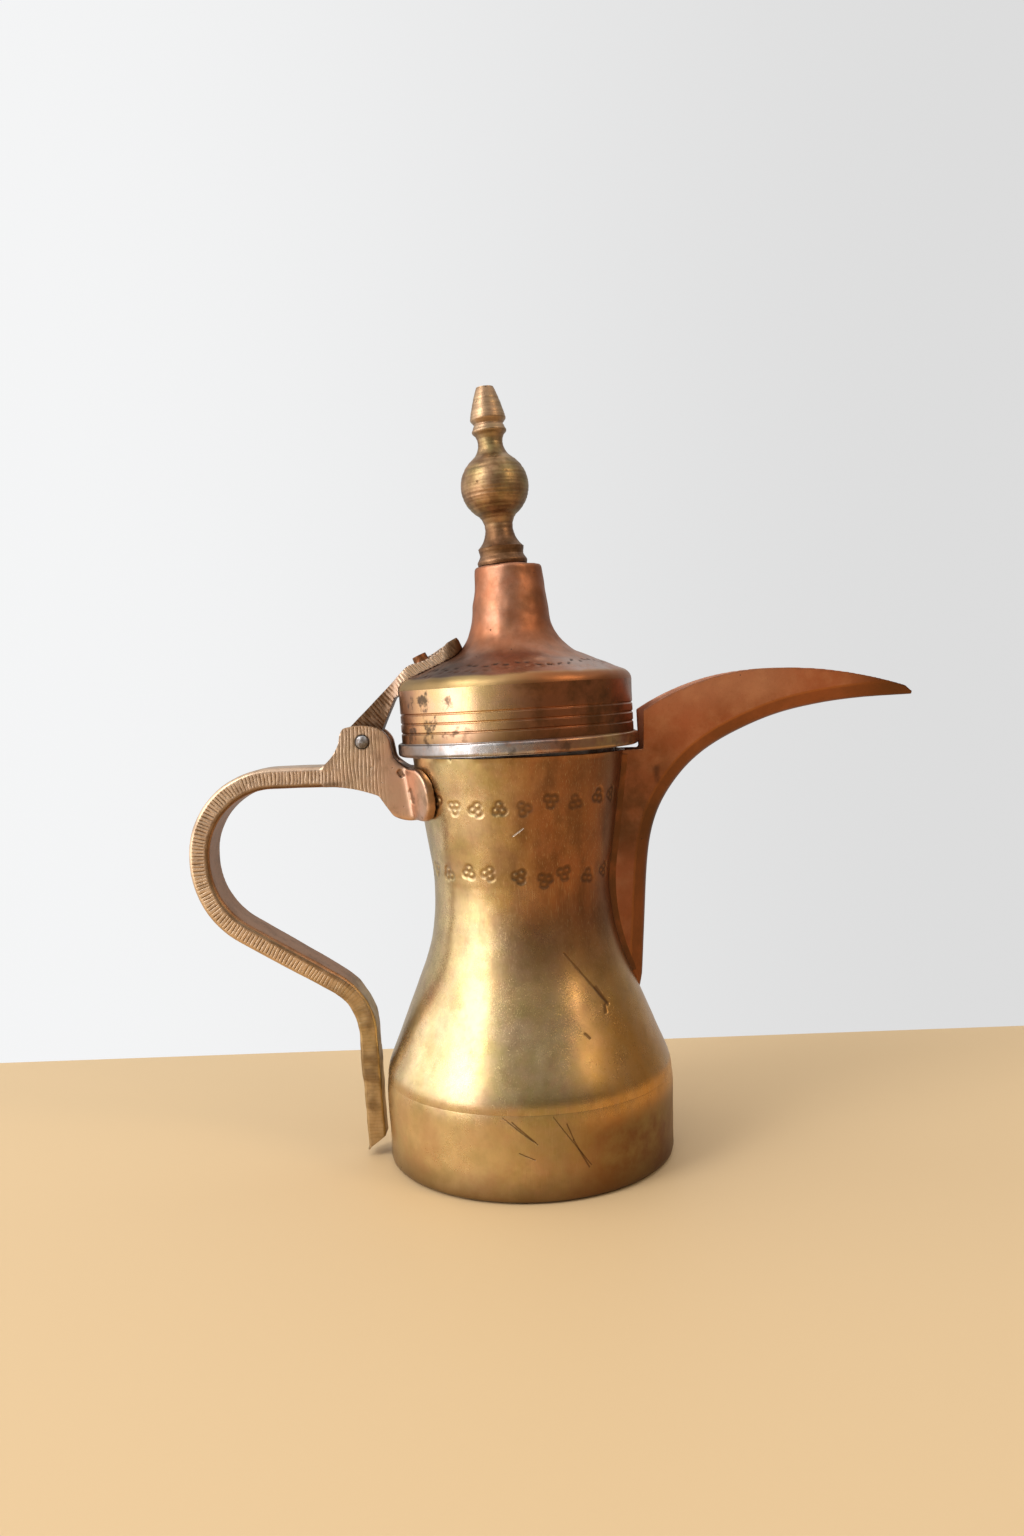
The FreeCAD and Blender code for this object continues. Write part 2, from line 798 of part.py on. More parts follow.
# Lid
def lid_shoulder(radius):
    """Height of the lid's sloping shoulder at a radius."""
    corner = DRUM_TOP + s.lid_corner * tangent((90 - s.lid_slope) / 2)
    return corner + (LID_RADIUS - radius) * tangent(s.lid_slope)


def cone_centre():
    """Centre of the hollow curve between the shoulder and the cone."""
    x = s.cone_radius + s.cone_curve * cosine(s.cone_taper)
    foot_x = x - s.cone_curve * sine(s.lid_slope)
    return Point(x, lid_shoulder(foot_x) + s.cone_curve * cosine(s.lid_slope))


def cone_skin(depth):
    """The cone's side at a depth under its outer face, from the shoulder up to the top."""
    centre = cone_centre()
    reach = s.cone_curve + depth
    foot = centre - Point(sine(s.lid_slope), cosine(s.lid_slope)) * reach
    waist = centre - Point(cosine(s.cone_taper), sine(s.cone_taper)) * reach
    round_off = s.cone_round - depth
    edge_level = LID_TOP - s.cone_round
    edge_x = waist.x - (edge_level - waist.y) * tangent(s.cone_taper)
    edge = Point(edge_x, edge_level)
    return foot, waist, reach, edge, Point(edge_x - round_off, LID_TOP - depth), round_off


def lid_skin():
    """The outer side of the lid's cone piece, from the seam with the drum up to the top."""
    foot, waist, reach, edge, top, round_off = cone_skin(as_size(0))
    run = s.lid_corner * tangent((90 - s.lid_slope) / 2)
    brow_x = LID_RADIUS - run * cosine(s.lid_slope)
    brow = Point(brow_x, lid_shoulder(brow_x))
    seam = Point(LID_RADIUS, DRUM_TOP)
    return [seam, (brow, s.lid_corner), foot, (waist, -reach), edge, (top, round_off)]


def make_lid_cone():
    body = new_body("lid_cone")
    foot, waist, reach, edge, top, round_off = cone_skin(s.lid_sheet)
    inside = LID_RADIUS - s.lid_sheet * 2
    lap = DRUM_TOP - s.lid_lap
    brow = lid_shoulder(inside) - s.lid_sheet / cosine(s.lid_slope)
    lining = [
        Point(0, LID_TOP),
        Point(0, LID_TOP - s.lid_sheet),
        top,
        (edge, -round_off),
        waist,
        (foot, reach),
        Point(inside, brow),
        Point(inside, lap),
        Point(inside + s.lid_sheet, lap),
        Point(inside + s.lid_sheet, DRUM_TOP),
    ]
    turn(body, draw(new_sketch(body, "profile", "XZ_Plane"), lid_skin() + lining))
    hole = new_sketch(body, "tenon_hole", "XY_Plane")
    draw_circle(hole, Point(-s.finial_offset, 0), s.tenon_radius + s.tenon_clear)
    cut(body, hole)
    rivet_hole(body)
    place_on_lid(body)
    return body


def rivet_spot():
    return Point(-s.paddle_reach, lid_shoulder(s.paddle_reach))


def shoulder_sketch(body, name, lift):
    """A sketch lying on the shoulder under the paddle, raised off it by a height."""
    spot = rivet_spot() + Point(-sine(s.lid_slope), cosine(s.lid_slope)) * lift
    sketch = new_sketch(body, name, "XY_Plane")
    tilt_sketch(sketch, FreeCAD.Vector(0, -1, 0), s.lid_slope, spot.x, 0, spot.y)
    return sketch


def rivet_hole(body):
    sketch = shoulder_sketch(body, "rivet_hole", s.paddle_thick)
    draw_circle(sketch, Point(0, 0), s.rivet_radius)
    cut(body, sketch, side="One side")


def make_lid_drum():
    body = new_body("lid_drum")
    inside = LID_RADIUS - s.lid_sheet
    low = SEAT + s.lid_sheet
    outline = [Point(inside, low), Point(LID_RADIUS, low)]
    half = s.line_wide / 2
    for line in range(ENGRAVED_LINES):
        level = SEAT + s.line_first + s.line_pitch * line
        outline.append(Point(LID_RADIUS, level - half))
        outline.append(Point(LID_RADIUS - s.line_deep, level))
        outline.append(Point(LID_RADIUS, level + half))
    outline += [Point(LID_RADIUS, DRUM_TOP), Point(inside, DRUM_TOP)]
    turn(body, draw(new_sketch(body, "profile", "XZ_Plane"), outline))
    place_on_lid(body)
    return body


def make_lid_rim_band():
    body = new_body("lid_rim_band")
    low = SEAT - s.rim_hang
    top = low + s.rim_tall
    edge = RIM_RADIUS - s.rim_round
    outline = [
        Point(LID_RADIUS, low),
        Point(edge, low),
        (Point(RIM_RADIUS, low + s.rim_round), s.rim_round),
        Point(RIM_RADIUS, top - s.rim_round),
        (Point(edge, top), s.rim_round),
        Point(LID_RADIUS, top),
    ]
    turn(body, draw(new_sketch(body, "profile", "XZ_Plane"), outline))
    place_on_lid(body)
    return body


def make_lid_collar():
    body = new_body("lid_collar")
    outside = s.mouth_radius - s.body_sheet - s.collar_clear
    inside = outside - s.lid_sheet
    low = SEAT - s.collar_tall
    outline = [
        Point(inside, low),
        Point(outside, low),
        Point(outside, SEAT),
        Point(LID_RADIUS, SEAT),
        Point(LID_RADIUS, SEAT + s.lid_sheet),
        Point(inside, SEAT + s.lid_sheet),
    ]
    turn(body, draw(new_sketch(body, "profile", "XZ_Plane"), outline))
    place_on_lid(body)
    return body


def paddle_top():
    """The two ends of the paddle's upper face in side view, from the strap's bend uphill."""
    bend = LID_RADIUS - s.strap_bend
    low = Point(-bend, lid_shoulder(bend) + s.paddle_thick / cosine(s.lid_slope))
    square = Point(-sine(s.lid_slope), cosine(s.lid_slope))
    high = Point(-s.paddle_end, lid_shoulder(s.paddle_end)) + square * s.paddle_end_thick
    return low, high


def strap_side():
    """Side view of the strap from the knuckle on the pin to the paddle's upper end."""
    low, high = paddle_top()
    bend = LID_RADIUS - s.strap_bend
    end = Point(-s.paddle_end, lid_shoulder(s.paddle_end))
    square = Point(-sine(s.lid_slope), cosine(s.lid_slope)) * s.paddle_thick
    return [
        (HINGE + polar(s.knuckle_round, s.strap_slant / 2), s.knuckle_round),
        Point(-(LID_RADIUS + s.strap_stand), DRUM_TOP - s.strap_drop),
        Point(-bend, DRUM_TOP),
        end - square,
        high,
        low,
        HINGE + polar(s.knuckle_round, 90 + s.strap_slant),
        (HINGE - Point(0, s.knuckle_round), s.knuckle_round),
    ]


def strap_plan(side):
    """Top view of what is cut from one side of the strap, to leave a spoon with a narrow tang."""
    thin = s.tang_width / 2 * side
    wide = s.paddle_width / 2 * side
    clear = s.paddle_width * side
    low = HINGE.x - s.paddle_width
    neck = -(LID_RADIUS - s.strap_bend)
    return [
        Point(low, thin),
        Point(neck - s.paddle_neck, thin),
        (Point(neck - s.paddle_neck / 2, (thin + wide) / 2), s.paddle_neck * side),
        (Point(neck, wide), -s.paddle_neck * side),
        Point(-(s.paddle_end + s.paddle_round), wide),
        (Point(-s.paddle_end, wide - s.paddle_round * side), -s.paddle_round * side),
        Point(-s.paddle_end, 0),
        Point(0, 0),
        Point(0, clear),
        Point(low, clear),
    ]


def scoop():
    """Side view of the hollow that lowers the paddle's near rim beside the recess."""
    low, high = paddle_top()
    run = high - low
    start = low + run * SCOOP_SPAN[0]
    end = low + run * SCOOP_SPAN[1]
    chord = end - start
    curve = (chord.square() / 4 + s.scoop_depth * s.scoop_depth) / (2 * s.scoop_depth)
    above = Point(0, s.paddle_thick)
    return [start, (end, curve), end + above, start + above]


def make_lid_strap():
    body = new_body("lid_strap")
    pad(body, draw(new_sketch(body, "side", "XZ_Plane"), strap_side()), s.paddle_width)
    for name, side in (("left", 1), ("right", -1)):
        plan = draw(new_sketch(body, name, "XY_Plane"), strap_plan(side))
        cut(body, plan)
    lid = [Point(0, SEAT), Point(LID_RADIUS, SEAT)] + lid_skin() + [Point(0, LID_TOP)]
    turn(body, draw(new_sketch(body, "lid_side", "XZ_Plane"), lid), "PartDesign::Groove")
    recess = shoulder_sketch(body, "recess", s.paddle_end_thick)
    depth = s.recess_depth + s.paddle_end_thick - s.paddle_thick
    cut(body, draw(recess, stadium(s.recess_length, s.recess_width)), depth, "One side")
    near_rim = draw(new_sketch(body, "scoop", "XZ_Plane"), scoop())
    cut(body, near_rim, s.paddle_width, "One side", backwards=True)
    bore = draw_circle(new_sketch(body, "bore", "XZ_Plane"), HINGE, s.pin_radius + s.pin_clear)
    cut(body, bore)
    rivet_hole(body)
    place_on_lid(body)
    return body


def make_strap_rivet():
    body = new_body("strap_rivet")
    floor = s.paddle_thick - s.recess_depth
    under = -(s.lid_sheet + s.rove_gap + s.rove_thick)
    top = floor + s.rivet_head_tall
    outline = [
        Point(0, under - s.rivet_peen_tall),
        Point(s.rivet_peen_radius, under - s.rivet_peen_tall),
        Point(s.rivet_peen_radius, under),
        Point(s.rivet_radius, under),
        Point(s.rivet_radius, floor),
        Point(s.rivet_head_radius, floor),
        Point(s.rivet_crown_radius, top),
        Point(0, top),
    ]
    turn(body, draw(new_sketch(body, "profile", "XZ_Plane"), outline))
    place_on_lid(body, rivet_spot(), s.lid_slope)
    return body


def washer(name, inside, outside, top, thick):
    body = new_body(name)
    outline = [
        Point(inside, top - thick),
        Point(outside, top - thick),
        Point(outside, top),
        Point(inside, top),
    ]
    turn(body, draw(new_sketch(body, "profile", "XZ_Plane"), outline))
    return body


def make_strap_rove():
    top = -(s.lid_sheet + s.rove_gap)
    body = washer("strap_rove", s.rivet_radius, s.rove_radius, top, s.rove_thick)
    place_on_lid(body, rivet_spot(), s.lid_slope)
    return body


def make_finial_rove():
    inside = s.tenon_radius + s.tenon_clear
    body = washer("finial_rove", inside, s.finial_rove_radius, -s.lid_sheet, s.finial_rove_thick)
    place_on_lid(body, Point(-s.finial_offset, LID_TOP))
    return body


def flare(start, end):
    """Radius of the arc between two points that runs upright at one of them."""
    step = end - start
    across = step.x if step.x.value > 0 else -step.x
    return step.square() / (2 * across)


def make_finial():
    body = new_body("finial")
    peen_top = -(s.lid_sheet + s.finial_rove_thick + s.tenon_play)
    ring = Point(s.ring_radius, s.ring_level)
    stem = Point(s.stem_radius, s.stem_level)
    lower = Point(s.bulb_lower_radius, s.bulb_lower_level)
    bulb = Point(s.bulb_radius, s.bulb_level)
    upper = Point(s.bulb_upper_radius, s.bulb_upper_level)
    throat = Point(s.throat_radius, s.throat_level)
    bead = Point(s.bead_radius, s.bead_level)
    outline = [
        Point(0, peen_top - s.peen_tall),
        Point(s.peen_radius, peen_top - s.peen_tall),
        Point(s.peen_radius, peen_top),
        Point(s.tenon_radius, peen_top),
        Point(s.tenon_radius, 0),
        Point(s.flange_radius, 0),
        (Point(s.flange_radius, s.flange_tall), s.flange_tall),
        Point(s.flange_waist, s.flange_waist_level),
        ring,
        (stem, -flare(ring, stem)),
        (lower, -flare(stem, lower)),
        (bulb, flare(lower, bulb)),
        (upper, flare(bulb, upper)),
        (throat, -flare(upper, throat)),
        (bead, -flare(throat, bead)),
        (bead + Point(0, s.bead_tall), s.bead_tall),
        Point(s.cap_groove_radius, s.cap_groove_level),
        Point(s.cap_radius, s.cap_level),
        (Point(s.cap_radius, s.cap_level + s.cap_tall), s.cap_tall),
        (Point(s.tip_radius, s.finial_tall), s.cap_curve),
        Point(0, s.finial_tall),
    ]
    turn(body, draw(new_sketch(body, "profile", "XZ_Plane"), outline))
    edge = Point(-(s.finial_offset + s.flange_radius), LID_TOP)
    place_on_lid(body, edge + polar(s.flange_radius, s.finial_lean), s.finial_lean)
    return body


def check_and_write(bodies):
    doc.recompute()
    for item in doc.Objects:
        if "Invalid" in item.State or "Error" in item.State:
            raise RuntimeError(f"{item.Name} did not recompute: {item.State}")
    os.makedirs("parts", exist_ok=True)
    for body in bodies:
        shape = body.Shape
        if shape.isNull() or not shape.isValid() or len(shape.Solids) != 1:
            raise RuntimeError(f"{body.Label} is not one sound solid")
        print(body.Label, round(shape.Volume, 1), shape.BoundBox)
        shape.exportStep(f"parts/{body.Label}.step")


check_and_write([
    make_base_pan(),
    make_body_wall(),
    make_spout(),
    make_handle(),
    make_hinge_pin(),
    make_lid_strap(),
    make_strap_rivet(),
    make_strap_rove(),
    make_lid_drum(),
    make_lid_cone(),
    make_lid_rim_band(),
    make_lid_collar(),
    make_finial(),
    make_finial_rove(),
])
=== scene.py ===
import json
import math

import bmesh
import bpy
import numpy as np
from mathutils import Matrix, Vector, kdtree


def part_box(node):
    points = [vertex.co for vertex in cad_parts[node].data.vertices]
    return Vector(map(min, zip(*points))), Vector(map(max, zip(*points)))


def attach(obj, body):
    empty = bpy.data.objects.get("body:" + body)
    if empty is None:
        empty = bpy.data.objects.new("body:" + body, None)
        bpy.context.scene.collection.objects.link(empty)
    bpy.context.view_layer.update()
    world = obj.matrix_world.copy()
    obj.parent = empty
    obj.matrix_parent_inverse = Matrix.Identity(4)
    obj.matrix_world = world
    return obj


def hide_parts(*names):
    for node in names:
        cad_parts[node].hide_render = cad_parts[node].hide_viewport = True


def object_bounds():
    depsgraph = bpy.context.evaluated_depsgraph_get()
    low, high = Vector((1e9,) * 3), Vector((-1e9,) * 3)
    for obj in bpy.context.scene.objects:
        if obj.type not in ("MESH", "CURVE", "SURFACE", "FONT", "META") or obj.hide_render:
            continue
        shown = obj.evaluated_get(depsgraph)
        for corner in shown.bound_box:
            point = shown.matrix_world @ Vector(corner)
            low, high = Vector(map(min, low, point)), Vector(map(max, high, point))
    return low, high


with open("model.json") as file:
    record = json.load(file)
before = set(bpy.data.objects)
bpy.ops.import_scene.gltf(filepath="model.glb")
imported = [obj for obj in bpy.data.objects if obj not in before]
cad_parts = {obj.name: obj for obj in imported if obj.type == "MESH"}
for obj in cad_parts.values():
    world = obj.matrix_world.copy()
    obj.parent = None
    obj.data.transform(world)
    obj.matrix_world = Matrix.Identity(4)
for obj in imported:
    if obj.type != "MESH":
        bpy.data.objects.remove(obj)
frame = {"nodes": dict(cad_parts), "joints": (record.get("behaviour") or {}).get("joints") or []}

CAD_LOW, CAD_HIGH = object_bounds()
NODES = frame["nodes"]
CAD_TOP = {name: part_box(name)[1][2] for name in NODES}
MM = 0.001

# Where the lid and its finial stand, in metres and radians
HINGE = Vector(frame["joints"][0]["pos_m"])
HINGE_AXIS = Vector(frame["joints"][0]["axis"])
LID_SET = math.radians(1.3)
FINIAL_LEAN = math.radians(2.5)
FINIAL_FOOT = Vector((-1.6, 0, 188.1)) * MM

# The middle line of the handle's bar, in millimetres and degrees: a start, then runs and bends
GRIP_START = (-36.0, 124.2)
GRIP_RUNS = ((42.0, 24.4, 90.0), (1.3, 27.5, 58.3), (33.1, -20.5, 56.3), (41.0, 0, 0))
GRIP_STEP = 0.25

# Where the filing ends and the smooth saddle of the handle starts, in millimetres
SADDLE_START = -41.0
SADDLE_EASE = 6.0

# The loop of the handle, filed in a band along its middle, and how strongly the hinge cheeks are filed
LOOP_START = -56.0
FILED_BAND = 2.2
FILED_EASE = 0.7
CHEEK_FILED = 0.6

# The hammered tail of the handle and its slanted tip, in millimetres
TAIL_TOP = 66.0
TAIL_EASE = 14.0
TAIL_SMOOTH = 0.75
TIP_TALL = 9.0
TIP_SLANT = 0.7

# How squarely the flat side of a bar faces outwards, the slope of the strap, and the pitch and seed of the
# file strokes on handle and strap, in millimetres
SIDE_FACING = 0.78
SIDE_EASE = 0.15
STRAP_SLANT = math.radians(40)
HANDLE_STROKE = 1.15
STRAP_STROKE = 1.2
HANDLE_SEED = 3
STRAP_SEED = 9

# Stretches across the pot where corners are rounded by hand, how often they are smoothed and how softly
# they start, in millimetres
SADDLE_CORNER = (-41.0, -27.0)
SADDLE_PASSES = 45
PADDLE_END = (-22.0, -6.0)
PADDLE_PASSES = 30
EASE_RUN = 3.0

# Heights in millimetres where two turned pieces meet flush
CREASE = CAD_TOP["base_pan"] / MM
CREASE_ROUND = 27.0
CREASE_RUN = 5.0
CREASE_STEP = 0.7
CREASE_EASE = 14.0
FOOT_EASE = 3.0
LID_SEAM = 149.9

# The cone's stem and how far it swells, in millimetres
STEM_FOOT = 153.0
STEM_HEAD = 188.0
STEM_REACH = 26.0
STEM_SWELL = 0.7

# The hole in the body wall behind the spout, in millimetres
POUR_WIDTH = 9.0
POUR_FOOT = 101.0
POUR_HEAD = 121.0
POUR_POINTS = 25

# Rows of punched trefoils round the neck: height in millimetres, marks in the row, seed
TREFOIL_ROWS = ((115.0, 25, 3), (93.0, 23, 8))
TREFOIL_BAND = 5.0

# Rows of punched dashes round the lid's shoulder, in the same order
DASH_ROWS = ((154.6, 62, 4), (155.7, 57, 6))

# Rounds of hammering on each piece, in millimetres, and a seed
HAMMER_SIZES = ("Blow width", "Blow depth", "Sag width", "Sag depth", "Rise", "Seed")
BODY_BLOWS = ((13, 0.1, 26, 0.7, 0.3, 2), (8, 0.05, 11, 0.34, 0.18, 22))
PAN_BLOWS = ((10, 0.12, 15, 0.9, 0.35, 5),)
SPOUT_BLOWS = ((11, 0.06, 30, 0.15, 0, 7),)
TAIL_BLOWS = ((4.5, 0.4, 30, 0.2, 0, 19),)
DRUM_BLOWS = ((14, 0.05, 30, 0.2, 0, 11),)
CONE_BLOWS = ((9, 0.5, 16, 1.0, 0.9, 13), (4, 0.24, 5, 0.35, 0.3, 14))
RIM_BLOWS = ((8, 0.14, 30, 0.3, 0, 17),)

# Points round each turned piece
BODY_ROUNDS = 450
PAN_ROUNDS = 360
LID_ROUNDS = 360
CONE_ROUNDS = 400
FINIAL_ROUNDS = 240

# Facets of the forged and folded pieces, in millimetres, and how often they are smoothed
SPOUT_FACETS = (0.39, 2)
HANDLE_FACETS = (0.42, 3)
STRAP_FACETS = (0.26, 3)
SMOOTHING = 0.5

# Mesh sizes, in metres for merging and in millimetres for steps, and angles that count as corners
MERGE = 1e-6
CURVE_STEP = 0.1
FINE_STEP = 0.3
RIM_STEP = 0.4
LID_STEP = 0.6
PAN_STEP = 1.4
SHEET_STEP = 1.8
SEAM_EASE = 4.0
EDGE_EASE = 0.03
FINIAL_EASE = 0.12
CORNER = math.radians(35)
SHARP = math.radians(42)
SECTION_TURN = math.radians(1.7)

# Metal colours, and two colours for painted reflections, as linear light
BRASS = (0.55, 0.395, 0.165, 1)
PALE_BRASS = (0.74, 0.56, 0.30, 1)
PINK_BRASS = (0.55, 0.37, 0.25, 1)
ROSE_BRASS = (0.68, 0.51, 0.375, 1)
# An amber for a painted reflection of the lamp on the belly
AMBER_REFLECTION = (0.54, 0.25, 0.05, 1)
OLIVE = (0.335, 0.265, 0.105, 1)
UMBER = (0.10, 0.048, 0.02, 1)
COPPER = (0.52, 0.26, 0.15, 1)
PINK_COPPER = (0.68, 0.42, 0.31, 1)
# An orange for a painted reflection along the spout's fold
ORANGE_REFLECTION = (0.42, 0.15, 0.045, 1)
RED_COPPER = (0.42, 0.15, 0.08, 1)
BROWN_COPPER = (0.29, 0.095, 0.036, 1)
TIN = (0.52, 0.49, 0.48, 1)
GREY_TIN = (0.26, 0.235, 0.23, 1)
IRON = (0.42, 0.42, 0.43, 1)
RUST = (0.12, 0.085, 0.065, 1)
SOOT = (0.030, 0.024, 0.021, 1)


def sign(operation):
    """The two ways that a formula writes a sign: with a wire before it and with a wire after it."""
    return (
        lambda wire, other: maths(operation, wire, other),
        lambda wire, other: maths(operation, other, wire),
    )


class Wire:
    """A value that runs through a node tree, so that a rule can be written as a formula."""

    __add__, __radd__ = sign("ADD")
    __sub__, __rsub__ = sign("SUBTRACT")
    __mul__, __rmul__ = sign("MULTIPLY")
    __truediv__, __rtruediv__ = sign("DIVIDE")

    def __init__(self, socket):
        self.socket = socket


def tree_of(*values):
    return next(v.socket.id_data for v in values if isinstance(v, Wire))


def join(socket, value):
    """Runs a wire to a socket, or sets the socket to a plain value."""
    if isinstance(value, Wire):
        value.socket.id_data.links.new(value.socket, socket)
    else:
        socket.default_value = value


def add(tree, kind, inputs=None, **settings):
    node = tree.nodes.new(kind)
    for name, value in settings.items():
        setattr(node, name, value)
    for name, value in (inputs or {}).items():
        join(node.inputs[name], value)
    return node


def out(node, name=0):
    return Wire(node.outputs[name])


def maths(operation, *values):
    node = add(tree_of(*values), "ShaderNodeMath", operation=operation)
    for socket, value in zip(node.inputs, values):
        join(socket, value)
    return out(node)


def vector_maths(operation, *values, name="Vector"):
    node = add(tree_of(*values), "ShaderNodeVectorMath", operation=operation)
    plain = [socket for socket in node.inputs if socket.enabled]
    for socket, value in zip(plain, values):
        join(socket, value)
    return out(node, name)


def scaled(vector, factor):
    node = add(tree_of(vector), "ShaderNodeVectorMath", operation="SCALE")
    join(node.inputs["Vector"], vector)
    join(node.inputs["Scale"], factor)
    return out(node)


def pack(x, y, z):
    return out(add(tree_of(x, y, z), "ShaderNodeCombineXYZ", {"X": x, "Y": y, "Z": z}))


def unpack(vector):
    node = add(tree_of(vector), "ShaderNodeSeparateXYZ", {"Vector": vector})
    return [out(node, name) for name in "XYZ"]


def ramp(value, low, high, first=0.0, last=1.0):
    """Goes smoothly from one number to another as a value goes from low to high."""
    inputs = {"Value": value, "From Min": low, "From Max": high, "To Min": first, "To Max": last}
    return out(add(tree_of(value), "ShaderNodeMapRange", inputs, interpolation_type="SMOOTHSTEP"))


def span(value, low, high, first=0.0, last=1.0):
    """The same between two lengths in millimetres."""
    return ramp(value, low * MM, high * MM, first, last)


def cloud(vector, scale, detail=3.0, seed=0.0, rough=0.55):
    inputs = {"Vector": vector, "W": seed, "Scale": scale, "Detail": detail, "Roughness": rough}
    return out(add(tree_of(vector), "ShaderNodeTexNoise", inputs, noise_dimensions="4D"))


def cells(vector, scale, feature="F1", name="Distance"):
    node = add(tree_of(vector), "ShaderNodeTexVoronoi", {"Vector": vector, "Scale": scale}, feature=feature)
    return out(node, name)


def pit_spots(place, spacing, radius, core, level):
    """Round pits in the cells of a pattern whose random number is over a level, deepest in their core."""
    distance = cells(place, 1 / spacing) * spacing
    picked = ramp(cells(place, 1 / spacing, name="Color"), level, level + 0.02)
    return ramp(distance, radius * core, radius, 1.0, 0.0) * picked


def chance(number, seed):
    """A fixed random number from 0 to 1 for each whole number."""
    node = add(tree_of(number), "ShaderNodeTexWhiteNoise", {"W": number + seed}, noise_dimensions="1D")
    return out(node, "Value")


def file_strokes(along, across, pitch, seed):
    """Parallel file strokes across a bar, a little uneven in their spacing and strength."""
    drift = cloud(pack(along / pitch * 0.22, across / pitch * 0.12, seed), 1.0, 1.0)
    strength = ramp(cloud(pack(along / pitch * 0.6, across / pitch * 0.25, seed), 1.0, 2.0), 0.3, 0.55)
    wave = maths("SINE", along / pitch * math.tau + drift * 9)
    return ramp(wave, 0.0, 0.95) * strength


# Outlines of the turned pieces, read from the frame
def merged_copy(node):
    mesh = bmesh.new()
    mesh.from_mesh(NODES[node].data)
    bmesh.ops.remove_doubles(mesh, verts=mesh.verts, dist=MERGE)
    return mesh


def section_of(node, upright):
    """The outline of a turned node as (radius, height) points in order, and whether it closes."""
    mesh = merged_copy(node)
    turn = Matrix.Rotation(SECTION_TURN, 4, "Z") @ upright.inverted()
    bmesh.ops.transform(mesh, matrix=turn, verts=mesh.verts)
    geometry = mesh.verts[:] + mesh.edges[:] + mesh.faces[:]
    cut = bmesh.ops.bisect_plane(mesh, geom=geometry, dist=MERGE, plane_no=(1, 0, 0))["geom_cut"]
    beside = {}
    for edge in cut:
        if isinstance(edge, bmesh.types.BMEdge) and sum(v.co.y for v in edge.verts) < 0:
            first, last = edge.verts
            beside.setdefault(first, []).append(last)
            beside.setdefault(last, []).append(first)
    ends = [v for v, near in beside.items() if len(near) == 1]
    here = min(ends or beside, key=lambda v: v.co.z)
    line = [here]
    while True:
        onward = [v for v in beside[here] if v not in line[-2:]]
        if not onward or onward[0] is line[0]:
            break
        here = onward[0]
        line.append(here)
    points = np.array([(max(-v.co.y, 0), v.co.z) for v in line])
    mesh.free()
    if ends:
        points[[0, -1], 0] = 0
    return points, not ends


def turns_of(points):
    steps = np.diff(points, axis=0)
    headings = np.arctan2(steps[:, 1], steps[:, 0])
    return np.abs((np.diff(headings) + math.pi) % math.tau - math.pi)


def smooth_stretch(points, step):
    """Points spread along a curve through the given ones, as close together as the step says."""
    gaps = np.linalg.norm(np.diff(points, axis=0), axis=1)[:, None]
    slopes = np.diff(points, axis=0) / gaps
    inner = (slopes[:-1] * gaps[1:] + slopes[1:] * gaps[:-1]) / (gaps[:-1] + gaps[1:])
    tangents = np.vstack((slopes[:1], inner, slopes[-1:]))
    along = np.concatenate(([0], np.cumsum(gaps)))
    dense = np.linspace(0, along[-1], max(4, math.ceil(along[-1] / (CURVE_STEP * MM))) + 1)
    piece = np.clip(np.searchsorted(along, dense, side="right") - 1, 0, len(gaps) - 1)
    gap = gaps[piece]
    t = (dense - along[piece])[:, None] / gap
    curve = (1 + 2 * t) * (1 - t) ** 2 * points[piece] + t * (1 - t) ** 2 * gap * tangents[piece]
    curve += t**2 * (3 - 2 * t) * points[piece + 1] - t**2 * (1 - t) * gap * tangents[piece + 1]
    ticks = np.concatenate(([0], np.cumsum(np.diff(dense) / (step(curve)[:-1] * MM))))
    count = max(2, math.ceil(ticks[-1]))
    places = np.interp(np.linspace(0, ticks[-1], count + 1), ticks, np.arange(len(ticks)))
    return np.column_stack([np.interp(places, np.arange(len(ticks)), curve[:, k]) for k in (0, 1)])


def eased_corner(before, corner, after, ease):
    """Points that round a sharp corner off, with one more on each side to keep the rounding narrow."""
    line = []
    for near, share in ((before, 3), (before, 1), (after, 1), (after, 3)):
        reach = np.linalg.norm(near - corner)
        line.append(corner + (near - corner) * min(share / 6, share * ease * MM / reach))
    middle = (line[1] + 2 * corner + line[2]) / 4
    return np.array([*line[:2], middle, *line[2:]])


def even_outline(points, closed, step, ease):
    """An outline with its points spread by a step and its sharp corners eased."""
    if closed:
        area = np.sum(points[:, 0] * np.roll(points[:, 1], -1) - np.roll(points[:, 0], -1) * points[:, 1])
        points = points if area > 0 else points[::-1]
        around = np.vstack((points[-1:], points, points[:1]))
        points = np.roll(points, -int(np.argmax(turns_of(around))), axis=0)
        points = np.vstack((points, points[:1]))
    corners = [0, *(np.flatnonzero(turns_of(points) > CORNER) + 1), len(points) - 1]
    stretches = [smooth_stretch(points[a : b + 1], step) for a, b in zip(corners, corners[1:])]
    line = [] if closed else [stretches[0][:1]]
    for number, stretch in enumerate(stretches):
        line.append(stretch[1:-1])
        if closed or number + 1 < len(stretches):
            after = stretches[(number + 1) % len(stretches)][1]
            line.append(eased_corner(stretch[-2], stretch[-1], after, ease))
    if not closed:
        line.append(stretches[-1][-1:])
    return np.vstack(line)


def new_piece(name, mesh):
    piece = bpy.data.objects.new(name, mesh)
    bpy.context.scene.collection.objects.link(piece)
    return piece


def write_mesh(name, work):
    """A smooth mesh from bmesh work, with its faces outwards."""
    bmesh.ops.remove_doubles(work, verts=work.verts, dist=MERGE / 10)
    bmesh.ops.recalc_face_normals(work, faces=work.faces)
    mesh = bpy.data.meshes.new(name)
    work.to_mesh(mesh)
    work.free()
    mesh.shade_smooth()
    return mesh


